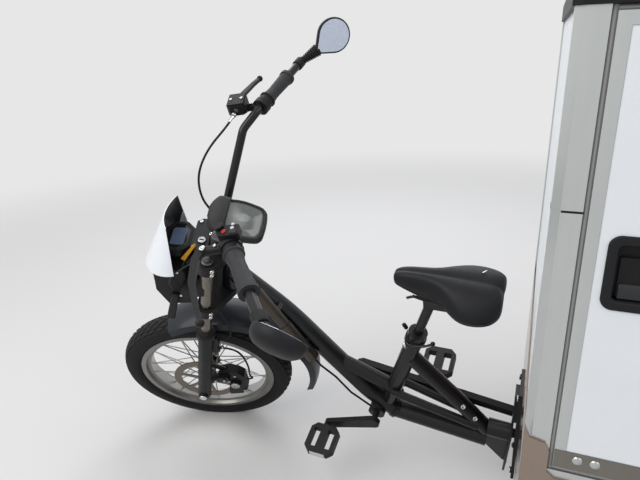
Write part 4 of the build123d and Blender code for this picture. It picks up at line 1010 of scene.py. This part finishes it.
def zip_form():
    """A raised cord of teeth round the shell."""
    teeth = Form()
    ring = rounded_ring(*BAG_ZIP, BAG_SAG)
    for i, a in enumerate(ring):
        for share in (0.25, 0.75):
            spot = a.lerp(ring[(i + 1) % len(ring)], share)
            out = Vector((spot.x, spot.y * 0.6, 0)).normalized()
            side, up = UP.cross(out) * TOOTH_HALF[0], UP * TOOTH_HALF[1]
            spot = spot - out * TOOTH_SINK
            corners = [spot + side - up, spot - side - up, spot - side + up, spot + side + up]
            teeth.slab(corners, out, TOOTH_THICK)
    return teeth


def hood_form():
    """A raised hood over the window's near end, closed towards the bar."""
    rows = []
    for j in range(HOOD_STEPS + 1):
        t = j / HOOD_STEPS
        half = HOOD_HALF * min(1.0, (t + 0.04) * 2.2) ** 0.5
        high = HOOD_HIGH * min(1.0, (t + 0.02) * 1.6) ** 0.5
        row = []
        for angle in [pi * i / 16 for i in range(17)]:
            row.append(mm(half * cos(angle) + HOOD_OFF, HOOD_Y + HOOD_LENGTH * t,
                          HOOD_FOOT + high * sin(angle) ** 0.8))
        rows.append(row)
    return Form().grid(rows)


def add_phone_bag():
    shell = Form().grid([rounded_ring(*row, BAG_SAG) for row in BAG_SHELL], closed_columns=True, caps=(0, -1))
    bag = fork_form("phone_bag_shell", shell, bag_cloth, BAG)
    round_off(bag, 1)
    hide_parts("phone_bag")
    thicken(fork_form("phone_window", window_form(), clear_film, BAG), 0.0006)
    border = Form().grid([rounded_ring(*row, BAG_SAG) for row in BAG_BORDER], closed_columns=True)
    fork_form("phone_border", border, bag_edge, BAG)
    fork_form("phone_bag_zip", zip_form(), bag_edge, BAG, smooth=False)
    thicken(fork_form("phone_hood", hood_form(), bag_cloth, BAG), 0.0018)


add_phone_bag()


# Hoses, seat clamp and small fittings

# Control points of each route in millimetres
LEVER_HOSE = [(-212, 84, 1104), (-180, 67, 1094), (-134, 10, 1062), (-96, -26, 1016), (-68, -30, 962),
              (-58.5, -12, 915), (-60, -6, 888)]
CALIPER_HOSE = [(80, -110, 491), (80, -80, 486), (80, -53, 452), (79, -53, 370), (68, -74, 300),
                (54, -72, 256), (50, -98, 250)]
THIN_CABLE = [(78, -56, 673), (78, -49, 640), (80, -46, 600), (80, -52, 556), (80, -70, 533), (80, -98, 533)]
LAMP_WIRE = [(71, -58, 868), (82, -74, 868), (84, -118, 846), (84, -142, 812), (82, -138, 776),
             (70, -122, 768)]
COLLAR_LEVER = [(22, 489, 601), (34, 492, 606), (38, 520, 614), (34, 545, 620), (26, 556, 622)]
SADDLE_LEVER = [(0, 492, 747), (0, 506, 756), (0, 530, 756), (0, 556, 752), (0, 580, 756)]
# y and z along both saddle rails, and their distance from the middle
RAIL = [(512, 779), (545, 766), (600, 768), (668, 766), (692, 781)]
RAIL_X = 20

# Corners of flat parts, in millimetres
YELLOW_PLUG = [(53, -92, 872), (53, -36, 920), (53, -34, 914), (53, -84, 862)]
PLUG_HOUSING = [(50, -84, 858), (50, -50, 884), (50, -46, 876), (50, -78, 848)]
SIDE_REFLECTOR = [(70.5, -138, 752), (70.5, -158, 758), (70.5, -212, 660), (70.5, -192, 649)]
SADDLE_MARK = [(-25, 664, 838.2), (-34, 672, 838.0), (-35.2, 670.6, 838.0), (-26.2, 662.6, 838.2)]

# Turned profiles, then radius and height of heads, in metres
HOSE_END = [(0, 0.0056), (0.011, 0.0056), (0.012, 0.0042), (0.026, 0.0042), (0.027, 0.0036)]
POST_COLLAR = [(0, 0.0232), (0, 0.0268), (0.001, 0.0275), (0.018, 0.0275), (0.019, 0.0268), (0.0195, 0.0232)]
# Knobs at the end of the collar's lever and on the seat post's front, with the ways that they point
LEVER_KNOB_AT = mm(26, 556, 622)
LEVER_KNOB_WAY = (-0.5, 0.8, 0.1)
POST_KNOB_AT = mm(0, 480, 640)
POST_KNOB_WAY = (0.2, -0.3, 1)
LEVER_KNOB = [(-0.006, 0.0015), (-0.004, 0.0048), (0, 0.0062), (0.004, 0.0048), (0.006, 0.0015)]
POST_KNOB = [(-0.012, 0.002), (-0.008, 0.0055), (0.008, 0.0055), (0.012, 0.002)]

HOSE_NUT = (0.0076, 0.007)
CALIPER_NUT = (0.0058, 0.006)
BRACKET_BOLT = (0.006, 0.005)
COLLAR_NUT = (0.0075, 0.009)
COLLAR_BOLT = (0.004, 0.002)
STAY_BOLT = (0.0072, 0.004)

LEVER_FITTING = mm(-209, 82, 1103.4)
LEVER_FITTING_WAY = Vector((40, -22, -8)).normalized()
CALIPER_FITTING = mm(80, -104, 491)
BRACKET_BOLT_AT = mm(58, -44, 881)
COLLAR_BOLT_AT = mm(27, 488, 600)
COLLAR_BOLT_WAY = Vector((0.7, -0.7, 0))
COLLAR_LUG = ((-0.006, 0.006), (0.478, 0.496), (0.590, 0.606))
STAY_R = 0.0222
SEAT_TUBE_WAY = Vector((0, 98, 310)).normalized()
SEAT_TUBE_TOP = mm(0, 508, 610)
STAY_WAY = Vector((0.8, 0.47, 0.37)).normalized()
# Bolts as (y, z): on the stay, and round the lamp
STAY_BOLTS = [(618, 357), (651, 312)]
LAMP_BOLTS = [(-164, 730), (-137, 744), (-108, 727), (-112, 838)]
LAMP_BOLT_X = 69.5


def add_wires(name, routes, material, body, place):
    """Smooth round wires in one curve: each route has a radius and its control points in millimetres."""
    curve = bpy.data.curves.new(name, "CURVE")
    curve.dimensions = "3D"
    curve.bevel_depth = 0.001
    curve.bevel_resolution = 3
    curve.resolution_u = 8
    curve.use_fill_caps = True
    for radius, points in routes:
        spline = curve.splines.new("NURBS")
        spline.points.add(len(points) - 1)
        for point, target in zip(spline.points, points):
            point.co = (*(place @ mm(*target)), 1.0)
            point.radius = radius
        spline.order_u = 3
        spline.use_endpoint_u = True
    curve.materials.append(material)
    wires = bpy.data.objects.new(name, curve)
    bpy.context.scene.collection.objects.link(wires)
    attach(wires, body)
    return wires


def plate(corners, way, thickness):
    return Form().slab([mm(*corner) for corner in corners], way, thickness)


def add_fittings():
    silver = Form().lathe(LEVER_FITTING, LEVER_FITTING_WAY, HOSE_END, 16)
    silver.nut(LEVER_FITTING - LEVER_FITTING_WAY * 0.003, LEVER_FITTING_WAY, *HOSE_NUT)
    silver.nut(CALIPER_FITTING, -FORWARD, *CALIPER_NUT)
    silver.bolt(BRACKET_BOLT_AT, (1, 0, 0.1), *BRACKET_BOLT)
    fork_form("hose_fittings", silver, chrome)
    fork_form("yellow_plug", plate(YELLOW_PLUG, LEFT, 0.004), yellow_plastic, bevel=0.0012)
    fork_form("plug_housing", plate(PLUG_HOUSING, LEFT, 0.010), black_plastic, bevel=0.0015)


def add_seat_clamp():
    ring = Form().lathe(SEAT_TUBE_TOP - SEAT_TUBE_WAY * 0.020, SEAT_TUBE_WAY, POST_COLLAR, 40)
    ring.block(*COLLAR_LUG)
    add_form("seat_collar", ring, black_metal, "driver_section", LEANED)
    silver = Form().nut(COLLAR_BOLT_AT, COLLAR_BOLT_WAY, *COLLAR_NUT)
    silver.bolt(COLLAR_BOLT_AT, -COLLAR_BOLT_WAY, *COLLAR_BOLT)
    silver.slab([mm(*corner) for corner in SADDLE_MARK], UP, 0.0012)
    for y, z in STAY_BOLTS:
        silver.bolt(mm(0, y, z) + STAY_WAY * STAY_R, STAY_WAY, *STAY_BOLT)
    add_form("seat_bolts", silver, chrome, "driver_section", LEANED)
    add_wires("seat_levers", [(3.2, COLLAR_LEVER), (3.4, SADDLE_LEVER)],
              frame_paint, "driver_section", LEANED)
    knobs = Form().lathe(LEVER_KNOB_AT, LEVER_KNOB_WAY, LEVER_KNOB, 16)
    knobs.lathe(POST_KNOB_AT, POST_KNOB_WAY, POST_KNOB, 16)
    add_form("seat_knobs", knobs, black_plastic, "driver_section", LEANED)


def add_hoses():
    hoses = add_wires("fork_hoses", [(3.0, LEVER_HOSE), (3.0, CALIPER_HOSE), (2.2, THIN_CABLE)],
                      black_rubber, "fork", STEERED)
    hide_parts("brake_hoses")
    add_wires("lamp_wire", [(2.0, LAMP_WIRE)], grey_plastic, "fork", STEERED)
    reflector = plate(SIDE_REFLECTOR, LEFT, 0.011)
    fork_form("side_reflector", reflector, mirror_plastic, bevel=0.004)
    studs = Form()
    for y, z in LAMP_BOLTS:
        studs.bolt(mm(LAMP_BOLT_X, y, z), LEFT, *SMALL_BOLT)
    fork_form("lamp_bolts", studs, chrome)


add_fittings()
add_seat_clamp()
add_hoses()


# Cargo box

# The seal sunk in the left door's gap, in metres: x and thickness, then outer and inner (y0, y1, z0, z1)
SEAL_X = (0.483, 0.014)
SEAL = ((0.8195, 1.5345, 0.6045, 1.3445), (0.8268, 1.5272, 0.6118, 1.3372))
# Joint of the corner post's lower and upper lengths, in millimetres
POST_JOINT_Z = 1066
POST_JOINT = [(456.6, 775.6), (486, 775.6), (500.4, 790), (500.4, 819.4), (456.6, 819.4)]
# Metal strip on the foot of the left door, in metres
KICK_STRIP = ((0.4979, 0.4988), (0.8275, 1.5265), (0.6125, 0.6468))
# y of the rivets on the strip, then their x and z, in millimetres
KICK_RIVETS = [864, 891, 1180, 1463, 1490]
KICK_RIVET_X = 498.8
KICK_RIVET_Z = 632
# Middle and half size of the handle's recess as (y, z)
RECESS = (937, 979)
RECESS_HALF = (73, 53)
# Rim round the recess, from its hidden inner edge outwards: way in from the recess, corner radius, x
HANDLE_RIM = [(9, 8, 489), (9, 8, 498.5), (6, 11, 500.2), (-4, 17, 500.2), (-6, 18, 499.2), (-6, 18, 496.8)]
RIM_STEPS = 48
PADDLE = [(484, 880, 940), (495, 880, 938), (496, 880, 952), (492, 880, 960), (484, 880, 962)]
# Rivets on the walls: side and y range of the rows, z range, pitch and x
PANEL_ROWS = [(1, (1585, 2215)), (-1, (838, 2215))]
PANEL_Z = (630, 1330)
PANEL_PITCH = 105
PANEL_STEPS = 7
PANEL_X = 498

DOOR_RIVET = [(-0.0004, 0.0088), (0.0008, 0.0086), (0.0026, 0.0066), (0.0036, 0.0030), (0.0038, 0.0)]
WALL_RIVET = [(-0.0004, 0.0042), (0.0006, 0.0040), (0.0016, 0.0024), (0.0019, 0.0)]
LOCK_HUB = [(0, 0.0098), (0.001, 0.0106), (0.049, 0.0106), (0.05, 0.0098)]

# Lock bars on the rear doors: their brackets in metres, and the handle drawn on the left door in millimetres
BRACKETS_Z = (0.690, 1.120, 1.270)
BRACKET_X = (0.048, 0.072)
BRACKET_Y = (2.2765, 2.2975)
BRACKET_H = 0.022
LOCK_HUB_AT = (60, 2287, 920)
LOCK_HANDLE = [(66, 2288, 936), (195, 2289, 930), (200, 2289, 944), (66, 2288, 956)]
# Bolts of the pivot as (x, y, z), on the chassis and on the housing that leans
PIVOT_BOLTS = [(x, 768.4, z) for x in (-52, 52) for z in (188, 422)]
HOUSING_BOLTS = [(x, 754.3, 150) for x in (-24, 24)]
PIVOT_BOLT = (0.0085, 0.006)
HOUSING_BOLT = (0.0075, 0.006)
# Pedals: body, side, y and z of the axle
PEDALS = [("left_pedal", 1, 222.3, 190.4), ("right_pedal", -1, 529.7, 335.6)]
PEDAL_EDGE = 181.6
REFLECTOR_HALF = (24, 8)


def ground_form(name, form, material, body, bevel=0.0):
    return add_form(name, form, material, body, GROUNDED, bevel)


def frame_strip(x, thick, outer, inner):
    """A flat frame on a wall of constant x; outer and inner are (y0, y1, z0, z1)."""
    form = Form()
    (y0, y1, z0, z1), (a0, a1, c0, c1) = outer, inner
    for y, z in (((y0, a0), (z0, z1)), ((a1, y1), (z0, z1)), ((a0, a1), (z0, c0)), ((a0, a1), (c1, z1))):
        form.block((x, x + thick), y, z)
    return form


def wall_ring(inset, corner, x):
    """A rounded outline round the handle's recess."""
    ring = []
    y_half, z_half = [half - inset - corner for half in RECESS_HALF]
    for i in range(RIM_STEPS):
        angle = 2 * pi * (i + 0.5) / RIM_STEPS
        c, s = cos(angle), sin(angle)
        y = y_half * (1 if c > 0 else -1) + corner * c
        z = z_half * (1 if s > 0 else -1) + corner * s
        ring.append(mm(x, RECESS[0] + y, RECESS[1] + z))
    return ring


def add_box_details():
    ground_form("door_seal", frame_strip(*SEAL_X, *SEAL), seal_grey, "chassis")
    joint = plate([(x, y, POST_JOINT_Z) for x, y in POST_JOINT], UP, 0.0032)
    ground_form("post_joint", joint, dark_slot, "chassis")
    ground_form("door_kick_strip", Form().block(*KICK_STRIP), strip_metal, "left_door")
    rivets = Form()
    for y in KICK_RIVETS:
        rivets.lathe(mm(KICK_RIVET_X, y, KICK_RIVET_Z), LEFT, DOOR_RIVET, 20)
    ground_form("door_rivets", rivets, bolt_steel, "left_door")
    rim = Form().grid([wall_ring(*row) for row in HANDLE_RIM], closed_columns=True)
    ground_form("handle_rim", rim, mirror_plastic, "left_door")
    paddle = plate(PADDLE, -FORWARD, 0.114)
    ground_form("handle_paddle", paddle, grey_plastic, "left_door", 0.0015)


def add_rivets():
    rivets = Form()
    low, high = PANEL_Z
    for side, (y0, y1) in PANEL_ROWS:
        across = round((y1 - y0) / PANEL_PITCH)
        spots = [(y0 + (y1 - y0) * i / across, z) for i in range(across + 1) for z in PANEL_Z]
        spots += [(y, low + (high - low) * i / PANEL_STEPS) for i in range(1, PANEL_STEPS) for y in (y0, y1)]
        for y, z in spots:
            rivets.lathe(mm(side * PANEL_X, y, z), LEFT * side, WALL_RIVET, 10)
    ground_form("wall_rivets", rivets, body_aluminium, "chassis")


def add_locks():
    """Brackets and handles on the rear doors' lock bars."""
    for side, end in ((1, "left"), (-1, "right")):
        door = "rear_door_" + end
        brackets = Form()
        x = sorted(side * edge for edge in BRACKET_X)
        for z in BRACKETS_Z:
            brackets.block(x, BRACKET_Y, (z, z + BRACKET_H))
        ground_form("lock_brackets_" + end, brackets, body_aluminium, door, 0.002)
        flip = Matrix.Diagonal((side, 1, 1))
        handle = Form().lathe(flip @ mm(*LOCK_HUB_AT), UP, LOCK_HUB, 24)
        handle.slab([flip @ mm(*corner) for corner in LOCK_HANDLE], -FORWARD, 0.008)
        ground_form("lock_handle_" + end, handle, black_metal, door, 0.0015)


def add_joint_bolts():
    bolts, low = Form(), Form()
    for spot in PIVOT_BOLTS:
        bolts.bolt(mm(*spot), FORWARD, *PIVOT_BOLT)
    ground_form("pivot_bolts", bolts, bolt_steel, "chassis")
    for spot in HOUSING_BOLTS:
        low.bolt(mm(*spot), FORWARD, *HOUSING_BOLT)
    add_form("housing_bolts", low, chrome, "driver_section", LEANED)


def add_saddle_rails():
    routes = [(3.5, [(x, y, z) for y, z in RAIL]) for x in (-RAIL_X, RAIL_X)]
    add_wires("saddle_rails", routes, frame_paint, "driver_section", LEANED)


def add_pedal_reflectors():
    half_y, half_z = REFLECTOR_HALF
    for body, side, y, z in PEDALS:
        corners = [(side * PEDAL_EDGE, y + u * half_y, z + v * half_z) for u, v in SQUARE]
        strip = plate(corners, LEFT * side, 0.002)
        add_form(body + "_reflectors", strip, pale_plastic, body, LEANED, 0.0006)


add_box_details()
add_rivets()
add_locks()
add_joint_bolts()
add_saddle_rails()
add_pedal_reflectors()


# Floor and light

FLOOR_HALF = 12
BACKDROP = (0.80, 0.80, 0.80)
SKY = (0.86, 0.88, 0.92)
SKY_STRENGTH = 0.75
# Way out over which the floor turns as pale as the backdrop, so that no horizon shows
FLOOR_FADE = (2.6, 6.0)
# Place, size, watts and colour of each softbox
SOFTBOXES = [
    ((2.6, -2.4, 3.6), 3.0, 115.0, (1.0, 0.98, 0.96)),
    ((-2.8, -1.6, 3.2), 3.0, 70.0, (0.94, 0.97, 1.0)),
    ((0.8, 3.2, 3.4), 3.0, 60.0, (1.0, 1.0, 1.0)),
]
LIT_MIDDLE = Vector((0, 0, 0.6))


def background_rays(owner):
    """1 for the rays that see the pale background: from the camera, off gloss and through glass."""
    paths = owner.add("ShaderNodeLightPath").socket.node
    camera, gloss, glass = [Value(owner, paths.outputs[f"Is {kind} Ray"])
                            for kind in ("Camera", "Glossy", "Transmission")]
    return (camera + gloss + glass).clamped()


def make_floor():
    corners = [Vector((u * FLOOR_HALF, v * FLOOR_HALF, 0)) for u, v in SQUARE]
    mesh = mesh_from("floor", corners, [(0, 1, 2, 3)])
    floor = bpy.data.objects.new("floor", mesh)
    bpy.context.scene.collection.objects.link(floor)
    ground = Finish("pale_floor")
    ground.set(Base_Color=(0.62, 0.61, 0.60), Roughness=0.9, Specular_IOR_Level=0.1)
    x, y, _ = ground.axes()
    far = (x * x + y * y).root().over(*FLOOR_FADE)
    glow = ground.add("ShaderNodeEmission", {}, {"Color": BACKDROP, "Strength": 1.0})
    lit = Value(ground, ground.surface.outputs[0])
    mixed = ground.add("ShaderNodeMixShader", {}, {0: far * background_rays(ground), 1: lit, 2: glow})
    ground.plug(ground.tree.nodes["Material Output"].inputs["Surface"], mixed)
    mesh.materials.append(ground.material)


def make_light():
    for place, size, watts, colour in SOFTBOXES:
        lamp = bpy.data.lights.new("softbox", "AREA")
        lamp.size = size
        lamp.energy = watts
        lamp.color = colour
        softbox = bpy.data.objects.new("softbox", lamp)
        softbox.location = place
        softbox.rotation_euler = (LIT_MIDDLE - Vector(place)).to_track_quat("-Z", "Y").to_euler()
        bpy.context.scene.collection.objects.link(softbox)
    world = bpy.data.worlds.new("studio")
    bpy.context.scene.world = world
    world.use_nodes = True
    sky = Nodes(world.node_tree)
    light = sky.tree.nodes["Background"]
    sky.plug(light.inputs["Color"], SKY)
    sky.plug(light.inputs["Strength"], SKY_STRENGTH)
    pale = sky.add("ShaderNodeBackground", {}, {"Color": BACKDROP})
    lit = Value(sky, light.outputs[0])
    chosen = sky.add("ShaderNodeMixShader", {}, {0: background_rays(sky), 1: lit, 2: pale})
    sky.plug(sky.tree.nodes["World Output"].inputs["Surface"], chosen)
    bpy.context.scene.view_settings.view_transform = "Standard"


make_floor()
make_light()
